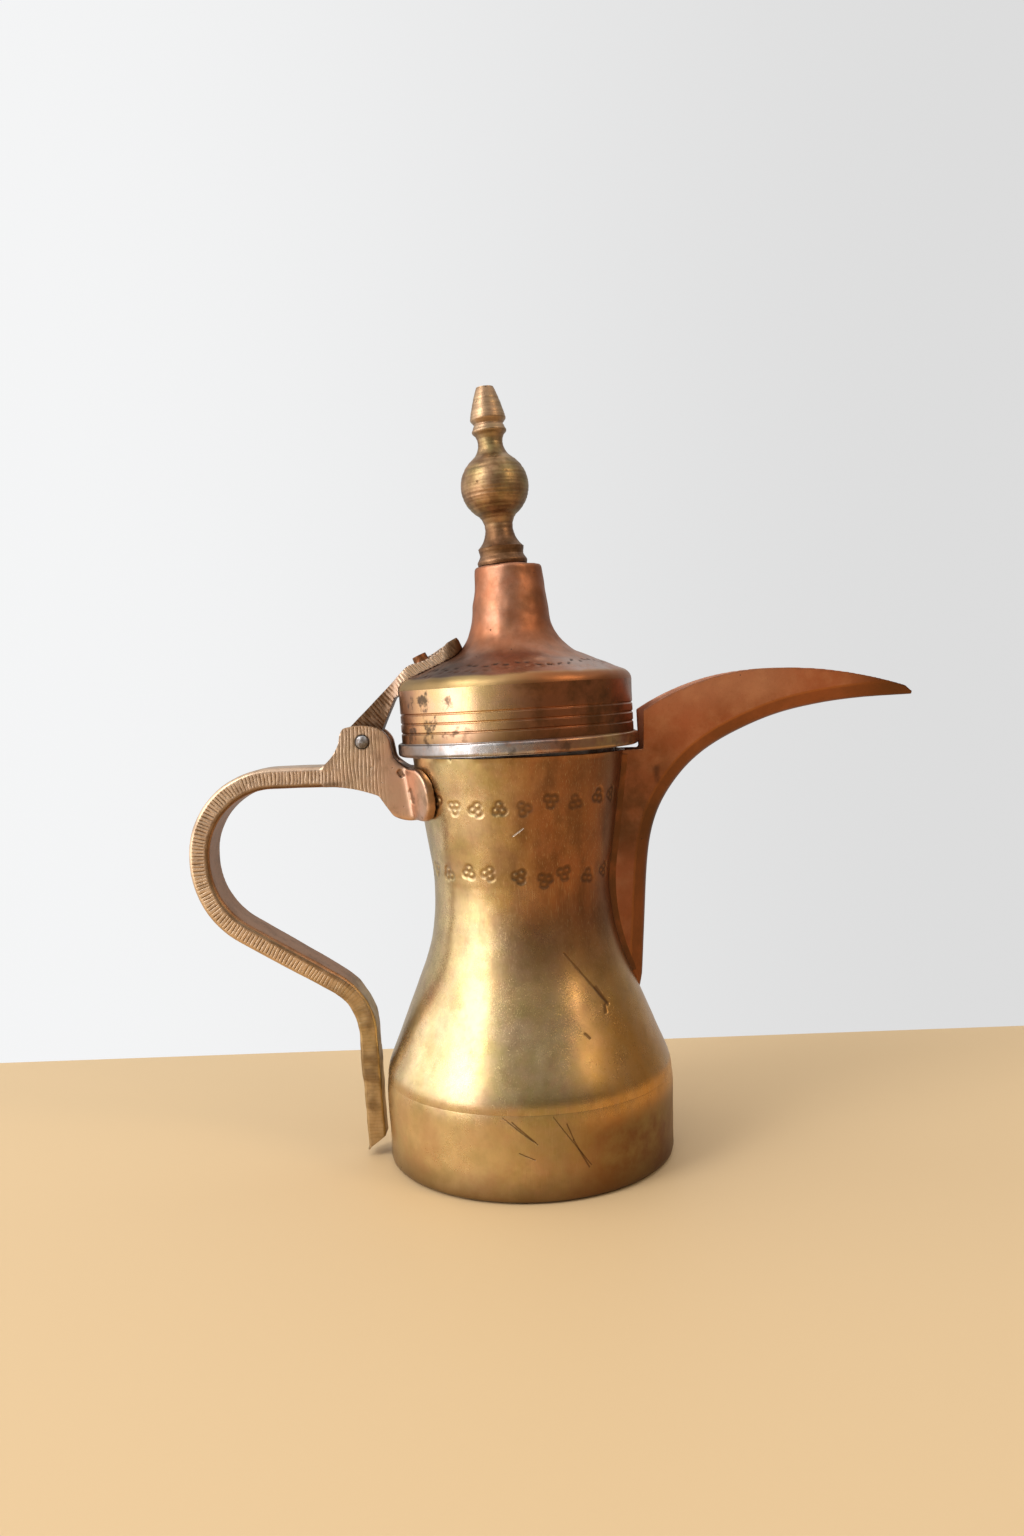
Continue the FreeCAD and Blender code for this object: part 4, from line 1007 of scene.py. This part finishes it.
def strap_finish():
    finish = Finish("strap_brass", PINK_BRASS, 0.38)
    patches(finish, GREY_TIN, 7, 0.55, 0.16, 53.0, 0.0, 0.7)
    side = finish.noted("side")
    finish.coat(side, BROWN_COPPER, 0.0, 0.7)
    finish.coat(side * finish.tarnish(5, 0.75, 0.2, 51.0), UMBER, 0.05, 0.85)
    uphill = span(finish.x, -38.5, -35)
    finish.coat(side * uphill, ROSE_BRASS, -0.06, 1.0)
    finish.coat((1 - side) * uphill, UMBER, 0.05, 0.45)
    downhill = span(finish.x, -37, -42)
    finish.coat(downhill * (0.5 + 0.5 * finish.tarnish(4, 0.5, 0.2, 55.0)), UMBER, 0.05, 0.6)
    show_strokes(finish, STRAP_STROKE, STRAP_SEED, 0.1, 0.45)
    finish.coat(downhill * (0.5 + 0.5 * finish.tarnish(3, 0.6, 0.2, 57.0)), UMBER, 0.05, 0.85)
    finish.coat(span(finish.x, -23.5, -20.5), UMBER, 0.1, 0.85)
    finish.coat(finish.noted("pitted"), SOOT, 0.1, 0.7)
    wear(finish, 0.25, 0.01, 0.3, 17.0)
    pits(finish, 2.5, 0.3, 0.25)
    return finish.end()


def lid_warmth(finish):
    """How far a place on the lid is from the brass at the hinge to the copper-brown at the spout."""
    return span(finish.x, -13, 10)


def drum_finish():
    finish = Finish("drum_brass", BRASS, 0.21)
    patches(finish, PINK_COPPER, 14, 0.5, 0.16, 61.0, 0.03, 0.7)
    finish.coat(span(finish.z, 152, 142), COPPER, 0.0, 0.25)
    finish.coat(span(finish.x, -22, -34), BROWN_COPPER, 0.05, 0.7)
    finish.coat(lid_warmth(finish), BROWN_COPPER, 0.04, 0.92)
    finish.coat(lid_warmth(finish) * finish.tarnish(9, 0.4, 0.12, 65.0), UMBER, 0.08, 0.8)
    left = span(finish.x, -8, -24)
    finish.coat(finish.tarnish(5, 0.28, 0.05, 67.0) * left, SOOT, 0.25, 0.8)
    finish.coat(span(finish.z, 139, 134), UMBER, 0.08, 0.6)
    wear(finish, 0.2, 0.006, 0.3, 21.0)
    pits(finish, 4, 0.3, 0.2)
    return finish.end()


def cone_finish():
    finish = Finish("cone_copper", COPPER, 0.3)
    patches(finish, PINK_COPPER, 10, 0.5, 0.15, 71.0, 0.0, 0.6)
    patches(finish, RED_COPPER, 12, 0.5, 0.15, 73.0, 0.05, 0.75)
    reach = maths("SQRT", finish.x * finish.x + finish.y * finish.y)
    mist = finish.tarnish(8, 0.7, 0.2, 76.0)
    by_strap = span(reach, 14, 24) * span(finish.x, 4, -20)
    finish.coat(span(reach, 12, 19) * (0.4 + 0.6 * mist), BROWN_COPPER, 0.04, 0.6)
    stem = span(reach, 19, 14)
    finish.coat(stem * span(finish.x, 0, 9), BROWN_COPPER, 0.04, 0.7)
    finish.coat(stem * span(finish.x, -7, -11), BROWN_COPPER, 0.04, 0.7)
    finish.coat(stem * (0.5 + 0.5 * mist), BROWN_COPPER, 0.02, 0.4)
    patches(finish, UMBER, 5, 0.4, 0.16, 78.0, 0.04, 0.35)
    finish.roughness = stem * 0.08 + finish.roughness
    # Painted reflection: a pale grey sheen on the cone's right, where the lamp would reflect.
    finish.coat(span(reach, 20, 28) * span(finish.x, 8, 20) * mist, TIN, -0.03, 0.45)
    finish.coat(by_strap * (0.55 + 0.45 * mist), SOOT, 0.15, 0.85)
    brow = span(reach, 34.4, 36.2)
    finish.coat(brow, BRASS, -0.02, 0.7)
    finish.coat(brow * lid_warmth(finish), BROWN_COPPER, 0.02, 0.9)
    finish.coat(brow * span(finish.x, -14, -24), UMBER, 0.1, 0.55)
    finish.coat(finish.noted("punched"), SOOT, 0.2, 0.85)
    wear(finish, 0.2, 0.006, 0.25, 24.0)
    pits(finish, 3.5, 0.35, 0.3)
    return finish.end()


def rim_finish():
    finish = Finish("rim_tin", TIN, 0.2)
    patches(finish, GREY_TIN, 9, 0.6, 0.16, 81.0, 0.08, 0.85)
    patches(finish, COPPER, 7, 0.22, 0.08, 84.0, 0.04, 0.7)
    finish.coat(span(finish.x, -18, -30), RUST, 0.05, 0.55)
    finish.coat(span(finish.x, -6, 16), BROWN_COPPER, 0.04, 0.8)
    finish.coat(span(finish.x, 6, 30) * finish.tarnish(8, 0.6, 0.16, 86.0), BRASS, 0.0, 0.6)
    patches(finish, SOOT, 5, 0.2, 0.08, 87.0, 0.15, 0.6)
    wear(finish, 0.2, 0.01, 0.35, 27.0)
    return finish.end()


def finial_finish():
    finish = Finish("finial_brass", OLIVE, 0.34)
    patches(finish, PINK_BRASS, 9, 0.45, 0.18, 93.0, 0.0, 0.5)
    patches(finish, COPPER, 7, 0.55, 0.18, 91.0, 0.0, 0.6)
    patches(finish, UMBER, 5, 0.55, 0.18, 95.0, 0.06, 0.7)
    foot = span(finish.z, 206, 198)
    finish.coat(foot, COPPER, 0.02, 0.6)
    finish.coat(foot * finish.tarnish(4, 0.85, 0.2, 97.0), UMBER, 0.05, 0.85)
    finish.coat(span(finish.z, 226, 232), PINK_BRASS, 0.0, 0.35)
    finish.coat(finish.noted("turned"), UMBER, 0.12, 0.6)
    pits(finish, 2.2, 0.25, 0.25)
    wear(finish, 0.2, 0.008, 0.25, 31.0)
    return finish.end()


def pin_finish():
    finish = Finish("pin_iron", IRON, 0.38)
    patches(finish, RUST, 2.2, 0.45, 0.1, 101.0, 0.1, 0.8)
    wear(finish, 0.2, 0.03, 0.5, 33.0, SOOT, 0.6)
    pits(finish, 1.2, 0.25, 0.4)
    return finish.end()


def rivet_finish():
    finish = Finish("rivet_copper", BROWN_COPPER, 0.4)
    patches(finish, UMBER, 2.5, 0.7, 0.16, 111.0, 0.1, 0.85)
    patches(finish, COPPER, 2, 0.3, 0.1, 113.0, -0.05, 0.5)
    wear(finish, 0.15, 0.01, 0.35, 36.0)
    return finish.end()


def collar_finish():
    finish = Finish("collar_tin", GREY_TIN, 0.42)
    patches(finish, TIN, 7, 0.4, 0.16, 121.0, 0.05, 0.7)
    patches(finish, UMBER, 9, 0.4, 0.12, 123.0, 0.1, 0.8)
    wear(finish, 0.2, 0.008, 0.35, 39.0)
    return finish.end()


# The pot's pieces
LID_UPRIGHT = (
    Matrix.Translation(HINGE) @ Matrix.Rotation(LID_SET, 4, HINGE_AXIS) @ Matrix.Translation(-HINGE)
)
FINIAL_UPRIGHT = LID_UPRIGHT @ Matrix.Translation(FINIAL_FOOT) @ Matrix.Rotation(FINIAL_LEAN, 4, HINGE_AXIS)
POT_UPRIGHT = Matrix.Identity(4)
HAMMERING = hammering()
TREFOILS = trefoil_punching()
DASHES = dash_punching()
FILING = filing()
LATHE = lathe_cutting()


def even_step(size):
    return lambda points: np.full(len(points), size)


def neck_step(points):
    """Close rows of points on the outer wall where the trefoils are punched, and wider ones elsewhere."""
    rising = np.gradient(points[:, 1]) > 0
    steps = np.where(rising, SHEET_STEP, SHEET_STEP * 2)
    steps[rising & (np.abs(points[:, 1] - CREASE * MM) < CREASE_RUN * MM)] = CREASE_STEP
    for height, _, _ in TREFOIL_ROWS:
        steps[rising & (np.abs(points[:, 1] - height * MM) < TREFOIL_BAND * MM)] = FINE_STEP
    return steps


def pan_step(points):
    return np.where(np.abs(points[:, 1] - CREASE * MM) < CREASE_RUN * MM, CREASE_STEP, PAN_STEP)


def hammer(piece, finish, blows):
    """Goes over a piece with rounds of hammering."""
    for sizes in blows:
        shape(piece, HAMMERING, finish, **dict(zip(HAMMER_SIZES, sizes)))


def punch(piece, tree, finish, rows):
    """Punches rows of marks round a piece."""
    for height, count, seed in rows:
        shape(piece, tree, finish, Height=height, Count=count, Seed=seed)


def stand(piece, upright, body, slot, *nodes):
    """Sets a finished piece in its place, to ride on a body in the stead of CAD nodes."""
    piece.data.transform(upright)
    piece.data.shade_smooth()
    piece.data.set_sharp_from_angle(angle=SHARP)
    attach(piece, body)
    if nodes:
        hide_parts(*nodes)


def soften_crease(piece):
    """Rounds off the corner where the body wall meets the base pan."""
    points = points_of(piece)
    away = np.abs(points[:, 2] / MM - CREASE)
    drop = np.clip(CREASE_RUN - away, 0, None) ** 2 / (2 * CREASE_ROUND)
    radius = np.hypot(points[:, 0], points[:, 1])
    points[:, :2] *= (1 - drop * MM / np.maximum(radius, MM))[:, None]
    move_points(piece, points)


def cut_pour_hole(piece):
    """Cuts the hole behind the spout: a slot with a round foot."""
    half = POUR_WIDTH / 2
    turns = np.linspace(math.pi, math.tau, POUR_POINTS)
    outline = [(half * math.cos(a), POUR_FOOT + half + half * math.sin(a)) for a in turns]
    outline += [(half, POUR_HEAD), (-half, POUR_HEAD)]
    work = bmesh.new()
    face = work.faces.new([work.verts.new((0, y * MM, z * MM)) for y, z in outline])
    grown = bmesh.ops.extrude_face_region(work, geom=[face])["geom"]
    reach = Vector((CAD_HIGH[0], 0, 0))
    bmesh.ops.translate(work, vec=reach, verts=[v for v in grown if isinstance(v, bmesh.types.BMVert)])
    cutter = new_piece("pour_hole_cutter", write_mesh("pour_hole_cutter", work))
    boolean = piece.modifiers.new("pour_hole", "BOOLEAN")
    boolean.operation = "DIFFERENCE"
    boolean.object = cutter
    settle(piece)
    bpy.data.meshes.remove(cutter.data)


def make_body_wall():
    finish = body_finish()
    piece = turned_piece("raised_body_wall", "body_wall", POT_UPRIGHT, BODY_ROUNDS, neck_step)
    soften_crease(piece)
    cut_pour_hole(piece)
    hold_seams(piece, (CREASE, CREASE_EASE))
    hammer(piece, finish, BODY_BLOWS)
    note(piece, "punched", np.zeros(len(piece.data.vertices)))
    punch(piece, TREFOILS, finish, TREFOIL_ROWS)
    stand(piece, POT_UPRIGHT, "pot", "body_brass", "body_wall")


def make_base_pan():
    piece = turned_piece("dented_base_pan", "base_pan", POT_UPRIGHT, PAN_ROUNDS, pan_step)
    soften_crease(piece)
    hold_seams(piece, (CREASE, CREASE_EASE), (0, FOOT_EASE))
    hammer(piece, pan_finish(), PAN_BLOWS)
    stand(piece, POT_UPRIGHT, "pot", "pan_brass", "base_pan")


def body_skin(heights):
    """The body wall's outer radius at some heights."""
    outline, _ = section_of("body_wall", POT_UPRIGHT)
    top = int(np.argmax(outline[:, 1] + outline[:, 0]))
    widest = int(np.argmax(outline[:, 0]))
    first, last = sorted((top, widest))
    skin = outline[first : last + 1]
    order = np.argsort(skin[:, 1])
    return np.interp(heights, skin[order, 1], skin[order, 0])


def seat_on_body(piece, worn=0.35, reach=2.5, sunk=0.15):
    """Draws the spout's edges, worn back by the smoothing, in to the body wall. Lengths in millimetres."""
    points = points_of(piece)
    radius = np.hypot(points[:, 0], points[:, 1])
    skin = body_skin(points[:, 2])
    gap = (radius - skin) / MM
    near = (gap < reach) & (points[:, 2] < CAD_TOP["body_wall"])
    closed = -sunk + (gap - worn) * (reach + sunk) / (reach - worn)
    closed = np.maximum(closed, -2 * sunk)
    points[near, :2] *= ((skin + closed * MM) / radius)[near, None]
    move_points(piece, points)


def nearest_of(places):
    """Finds the nearest of some (x, z) places: where it is, its number and how far away it is."""
    tree = kdtree.KDTree(len(places))
    for number, (x, z) in enumerate(places):
        tree.insert((x, 0, z), number)
    tree.balance()
    return lambda x, z: tree.find((x, 0, z))


def note_fold(piece):
    """Notes the rounded fold along the spout's outer line, where the sheet turns from wall to wall."""
    points = points_of(piece) / MM
    keel = points[np.abs(points[:, 1]) < KEEL_BAND]
    nearest = nearest_of(keel[:, [0, 2]])
    reach = np.array([nearest(x, z)[2] for x, _, z in points])
    note(piece, "fold", np.clip((FOLD_WIDE - reach) / FOLD_EASE, 0, 1))


def make_spout():
    piece = worked_piece("folded_spout", "spout", *SPOUT_FACETS)
    seat_on_body(piece)
    note_fold(piece)
    hold_seams(piece)
    hammer(piece, spout_finish(), SPOUT_BLOWS)
    stand(piece, POT_UPRIGHT, "pot", "spout_copper", "spout")


# The solder in the corner between the spout's walls and the body, in millimetres: its ends and its section
SOLDER_LOW = 58.0
SOLDER_END = 1.0
SOLDER_STEP = 1.0
SOLDER_LEG = 1.5
SOLDER_CORNERS = (
    (-SOLDER_LEG * 0.2, -0.5),
    (SOLDER_LEG, -0.3),
    (SOLDER_LEG * 0.3, 0.35),
    (-0.35, SOLDER_LEG),
)

# The line where spout and body touch: how near counts, which points are its outer ones, and its bends
TOUCHING = 0.02
OUTER_SHARE = 0.93
LINE_BENDS = 4


def wall_line():
    """Places up the body where the outer face of the spout's near wall meets it, in millimetres."""
    mesh = merged_copy("spout")
    points = np.array([v.co for v in mesh.verts])
    mesh.free()
    points = points[np.abs(np.hypot(points[:, 0], points[:, 1]) - body_skin(points[:, 2])) < TOUCHING * MM]
    points = points[np.argsort(points[:, 2])] / MM
    outer = np.abs(points[:, 1]) > OUTER_SHARE * np.interp(points[:, 2], points[:, 2], np.abs(points[:, 1]))
    steep = np.polyfit(points[outer, 2], np.abs(points[outer, 1]), LINE_BENDS)
    heights = np.arange(SOLDER_LOW, CAD_TOP["body_wall"] / MM - SOLDER_END, SOLDER_STEP)
    return list(zip(np.polyval(steep, heights), heights))


def make_solder():
    """A thin run of solder up each side of the spout."""
    work = bmesh.new()
    for side in (-1, 1):
        rings = []
        for y, z in wall_line():
            radius = float(body_skin(z * MM)) / MM
            angle = math.asin(y / radius)
            corners = []
            for turn, out_by in SOLDER_CORNERS:
                spot = angle + turn / radius
                reach = radius + out_by
                place = (reach * math.cos(spot) * MM, side * reach * math.sin(spot) * MM, z * MM)
                corners.append(work.verts.new(place))
            rings.append(corners)
        for low, high in zip(rings, rings[1:]):
            for k in range(len(SOLDER_CORNERS)):
                work.faces.new((low[k], low[k - 1], high[k - 1], high[k]))
        work.faces.new(rings[0])
        work.faces.new(rings[-1])
    piece = new_piece("spout_solder", write_mesh("spout_solder", work))
    piece.data.materials.append(solder_finish())
    stand(piece, POT_UPRIGHT, "pot", "spout_copper")


def grip_line():
    """Points along the middle of the handle's bar, each with its heading and its distance along."""
    x, z = GRIP_START
    heading = math.pi
    line = []
    for run, bend, angle in GRIP_RUNS:
        arc = abs(bend) * math.radians(angle)
        for number in range(round((run + arc) / GRIP_STEP)):
            line.append((x, z, heading, len(line) * GRIP_STEP))
            x += GRIP_STEP * math.cos(heading)
            z += GRIP_STEP * math.sin(heading)
            if number * GRIP_STEP >= run:
                heading += GRIP_STEP / bend
    return line


def note_bar(piece):
    """Notes how far along and across the handle's bar each point is, and which points are on a flat side."""
    line = grip_line()
    nearest = nearest_of([place[:2] for place in line])
    along, across = [], []
    for x, _, z in points_of(piece) / MM:
        _, number, _ = nearest(x, z)
        here_x, here_z, heading, distance = line[number]
        step_x, step_z = x - here_x, z - here_z
        along.append(distance + step_x * math.cos(heading) + step_z * math.sin(heading))
        across.append(step_z * math.cos(heading) - step_x * math.sin(heading))
    note(piece, "along", np.array(along) * MM)
    note(piece, "across", np.array(across) * MM)
    note_side(piece)
    return np.array(across)


def note_side(piece):
    """Notes which points are on a flat side of a bar."""
    facing = np.abs(points_of(piece, "normal")[:, 1])
    note(piece, "side", np.clip((facing - SIDE_FACING) / SIDE_EASE, 0, 1))


def slant_tip(piece):
    """Cuts the handle's tip off at a slant, higher on the side by the pot."""
    points = points_of(piece)
    low = points[:, 2].min()
    near = np.clip(1 - (points[:, 2] - low) / (TIP_TALL * MM), 0, 1)
    tip = points[near > 0]
    points[:, 2] += near * (points[:, 0] - tip[:, 0].min()) * TIP_SLANT
    move_points(piece, points)


def ease_stretch(piece, start, end, passes):
    """Rounds the corners of a bar between two distances across the pot, in millimetres."""
    across = points_of(piece)[:, 0] / MM
    weights = np.clip(np.minimum(across - start, end - across) / EASE_RUN, 0, 1)
    group = piece.vertex_groups.new(name="eased")
    for number in np.flatnonzero(weights):
        group.add([int(number)], float(weights[number]), "REPLACE")
    smooth(piece, passes, "eased")


def make_handle():
    piece = worked_piece("filed_handle", "handle", *HANDLE_FACETS)
    ease_stretch(piece, *SADDLE_CORNER, SADDLE_PASSES)
    slant_tip(piece)
    off_line = np.abs(note_bar(piece))
    place, _, level = points_of(piece).T / MM
    tail = np.clip((TAIL_TOP - level) / TAIL_EASE, 0, 1)
    loop = np.clip((LOOP_START - place) / SADDLE_EASE, 0, 1)
    band = np.clip((FILED_BAND - off_line) / FILED_EASE, 0, 1)
    filed = np.clip((SADDLE_START - place) / SADDLE_EASE, 0, 1) * CHEEK_FILED
    note(piece, "filed", (filed + (band - filed) * loop) * (1 - TAIL_SMOOTH * tail))
    note(piece, "free", tail)
    finish = handle_finish()
    hammer(piece, finish, TAIL_BLOWS)
    shape(piece, FILING, finish, Stroke_pitch=HANDLE_STROKE, Seed=HANDLE_SEED)
    stand(piece, POT_UPRIGHT, "pot", "handle_brass", "handle")


def make_strap():
    piece = worked_piece("filed_strap", "lid_strap", *STRAP_FACETS)
    ease_stretch(piece, *PADDLE_END, PADDLE_PASSES)
    x, _, z = points_of(piece).T
    note(piece, "along", x * math.cos(STRAP_SLANT) + z * math.sin(STRAP_SLANT))
    note(piece, "across", z * math.cos(STRAP_SLANT) - x * math.sin(STRAP_SLANT))
    note_side(piece)
    note(piece, "filed", np.ones(len(x)))
    shape(piece, FILING, strap_finish(), Stroke_pitch=STRAP_STROKE, Stroke_depth=0.12, Seed=STRAP_SEED)
    stand(piece, POT_UPRIGHT, "lid", "strap_brass", "lid_strap")


def make_lid_drum():
    piece = turned_piece("engraved_lid_drum", "lid_drum", LID_UPRIGHT, LID_ROUNDS, even_step(LID_STEP))
    hold_seams(piece, (LID_SEAM, SEAM_EASE))
    hammer(piece, drum_finish(), DRUM_BLOWS)
    stand(piece, LID_UPRIGHT, "lid", "drum_brass", "lid_drum")


def swell_stem(piece):
    """Fills the cone's stem out a little below its neck."""
    points = points_of(piece)
    share = np.clip((points[:, 2] / MM - STEM_FOOT) / (STEM_HEAD - STEM_FOOT), 0, 1)
    radius = np.hypot(points[:, 0], points[:, 1])
    wider = STEM_SWELL * MM * np.sin(math.pi * share) ** 2 * (radius < STEM_REACH * MM)
    points[:, :2] *= (1 + wider / np.maximum(radius, MM))[:, None]
    move_points(piece, points)


def make_lid_cone():
    finish = cone_finish()
    piece = turned_piece("hammered_lid_cone", "lid_cone", LID_UPRIGHT, CONE_ROUNDS, even_step(LID_STEP))
    swell_stem(piece)
    hold_seams(piece, (LID_SEAM, SEAM_EASE))
    hammer(piece, finish, CONE_BLOWS)
    punch(piece, DASHES, finish, DASH_ROWS)
    stand(piece, LID_UPRIGHT, "lid", "cone_copper", "lid_cone")


def make_lid_rim():
    piece = turned_piece("rolled_lid_rim", "lid_rim_band", LID_UPRIGHT, LID_ROUNDS, even_step(RIM_STEP))
    hold_seams(piece)
    hammer(piece, rim_finish(), RIM_BLOWS)
    stand(piece, LID_UPRIGHT, "lid", "rim_tin", "lid_rim_band")


def make_finial():
    step = even_step(FINE_STEP)
    piece = turned_piece("turned_finial", "finial", FINIAL_UPRIGHT, FINIAL_ROUNDS, step, FINIAL_EASE)
    shape(piece, LATHE, finial_finish(), Seed=5)
    stand(piece, FINIAL_UPRIGHT, "lid", "finial_brass", "finial")


def paint_small_nodes():
    """Gives the pieces that keep their CAD mesh their finishes."""
    rivet = rivet_finish()
    finishes = {
        "hinge_pin": pin_finish(),
        "strap_rivet": rivet,
        "strap_rove": rivet,
        "finial_rove": rivet,
        "lid_collar": collar_finish(),
    }
    for node, finish in finishes.items():
        for slot in NODES[node].material_slots:
            slot.material = finish


# The stage: a pale board that ends behind the pot, with a white room beyond it
BOARD_SIZE = (0.96, 1.3, 0.02)
BOARD_END = 0.115
BOARD_COLOUR = (0.66, 0.475, 0.265, 1)
BOARD_ROUGH = 0.6

# Lights: name, place and size in metres, power in watts, colour
DAYLIGHT = (1.0, 0.99, 0.98)
LIGHTS = (
    ("window_left", (-1.12, -0.73, 0.50), (0.75, 1.6), 11, DAYLIGHT),
    ("window_sky", (-0.95, -0.66, 1.05), (0.4, 0.7), 5, DAYLIGHT),
    ("wall_left", (-1.35, 0.10, 0.50), (1.2, 1.4), 6, DAYLIGHT),
    ("ceiling", (0.0, 0.1, 1.6), (1.6, 1.6), 1.5, (1.0, 0.99, 0.97)),
    ("lamp_right", (0.95, -0.65, 0.85), (0.3, 0.4), 3, (1.0, 0.78, 0.5)),
)
POT_MIDDLE = Vector((0, 0, 0.11))

# The wall behind the pot, lighter on the left as painted light, and the room that the metal reflects: its
# left side, then the colours that take over along a direction (0 across, 1 away, 2 up), from where to where
WALL_LEFT = (0.91, 0.915, 0.92, 1)
WALL_RIGHT = (0.72, 0.72, 0.72, 1)
ROOM_LEFT = (1.0, 0.99, 0.97, 1)
ROOM_SIDES = (
    (0, -0.9, 0.1, (0.20, 0.18, 0.16, 1)),
    (0, 0.3, 0.95, (0.30, 0.25, 0.20, 1)),
    (1, 0.3, 0.9, (0.55, 0.54, 0.52, 1)),
    (2, 0.2, 0.8, (0.84, 0.83, 0.81, 1)),
)

# The photograph's viewpoint: place in metres, angles, and a lens on the long side of its film in millimetres
VIEW_PLACE = (-0.00224, -0.3835, 0.148)
VIEW_DOWN = math.radians(3.52)
VIEW_ROLL = math.radians(-2.09)
VIEW_LENS = 28.0
VIEW_FILM = 36.0


def make_board():
    work = bmesh.new()
    middle = Matrix.Translation((0, BOARD_END - BOARD_SIZE[1] / 2, -BOARD_SIZE[2] / 2))
    bmesh.ops.create_cube(work, size=1, matrix=middle @ Matrix.Diagonal((*BOARD_SIZE, 1)))
    mesh = bpy.data.meshes.new("pale_board")
    work.to_mesh(mesh)
    work.free()
    material = bpy.data.materials.new("pale_board")
    material.use_nodes = True
    shader = material.node_tree.nodes["Principled BSDF"]
    shader.inputs["Base Color"].default_value = BOARD_COLOUR
    shader.inputs["Roughness"].default_value = BOARD_ROUGH
    mesh.materials.append(material)
    new_piece("pale_board", mesh)


def make_light(name, place, size, power, colour):
    """A flat lamp that looks at the middle of the pot. Lengths in metres."""
    light = bpy.data.lights.new(name, "AREA")
    light.shape = "RECTANGLE"
    light.size, light.size_y = size
    light.energy = power
    light.color = colour
    lamp = bpy.data.objects.new(name, light)
    lamp.location = place
    lamp.rotation_euler = (POT_MIDDLE - Vector(place)).to_track_quat("-Z", "Y").to_euler()
    bpy.context.scene.collection.objects.link(lamp)


def make_room():
    """The wall as the eye sees it, and the rest of the room as the metal sees it."""
    world = bpy.data.worlds.new("room")
    world.use_nodes = True
    tree = world.node_tree
    directions = unpack(out(add(tree, "ShaderNodeTexCoord"), "Generated"))
    # The wall as the eye sees it is lighter on the left: painted light.
    wall = mixed(ramp(directions[0], -0.4, 0.4), WALL_LEFT, WALL_RIGHT)
    room = ROOM_LEFT
    for direction, start, end, colour in ROOM_SIDES:
        room = mixed(ramp(directions[direction], start, end), room, colour)
    seen = out(add(tree, "ShaderNodeLightPath"), "Is Camera Ray")
    join(tree.nodes["Background"].inputs["Color"], mixed(seen, room, wall))
    bpy.context.scene.world = world
    bpy.context.scene.view_settings.view_transform = "Standard"


def make_camera():
    lens = bpy.data.cameras.new("viewpoint")
    lens.lens = VIEW_LENS
    lens.sensor_width = VIEW_FILM
    camera = bpy.data.objects.new("viewpoint", lens)
    tilt = Matrix.Rotation(math.pi / 2 - VIEW_DOWN, 4, "X")
    roll = Matrix.Rotation(VIEW_ROLL, 4, "Z")
    camera.matrix_world = Matrix.Translation(VIEW_PLACE) @ tilt @ roll
    bpy.context.scene.collection.objects.link(camera)
    bpy.context.scene.camera = camera


make_body_wall()
make_base_pan()
make_spout()
make_solder()
make_handle()
make_strap()
make_lid_drum()
make_lid_cone()
make_lid_rim()
make_finial()
paint_small_nodes()
make_board()
for light in LIGHTS:
    make_light(*light)
make_room()
make_camera()
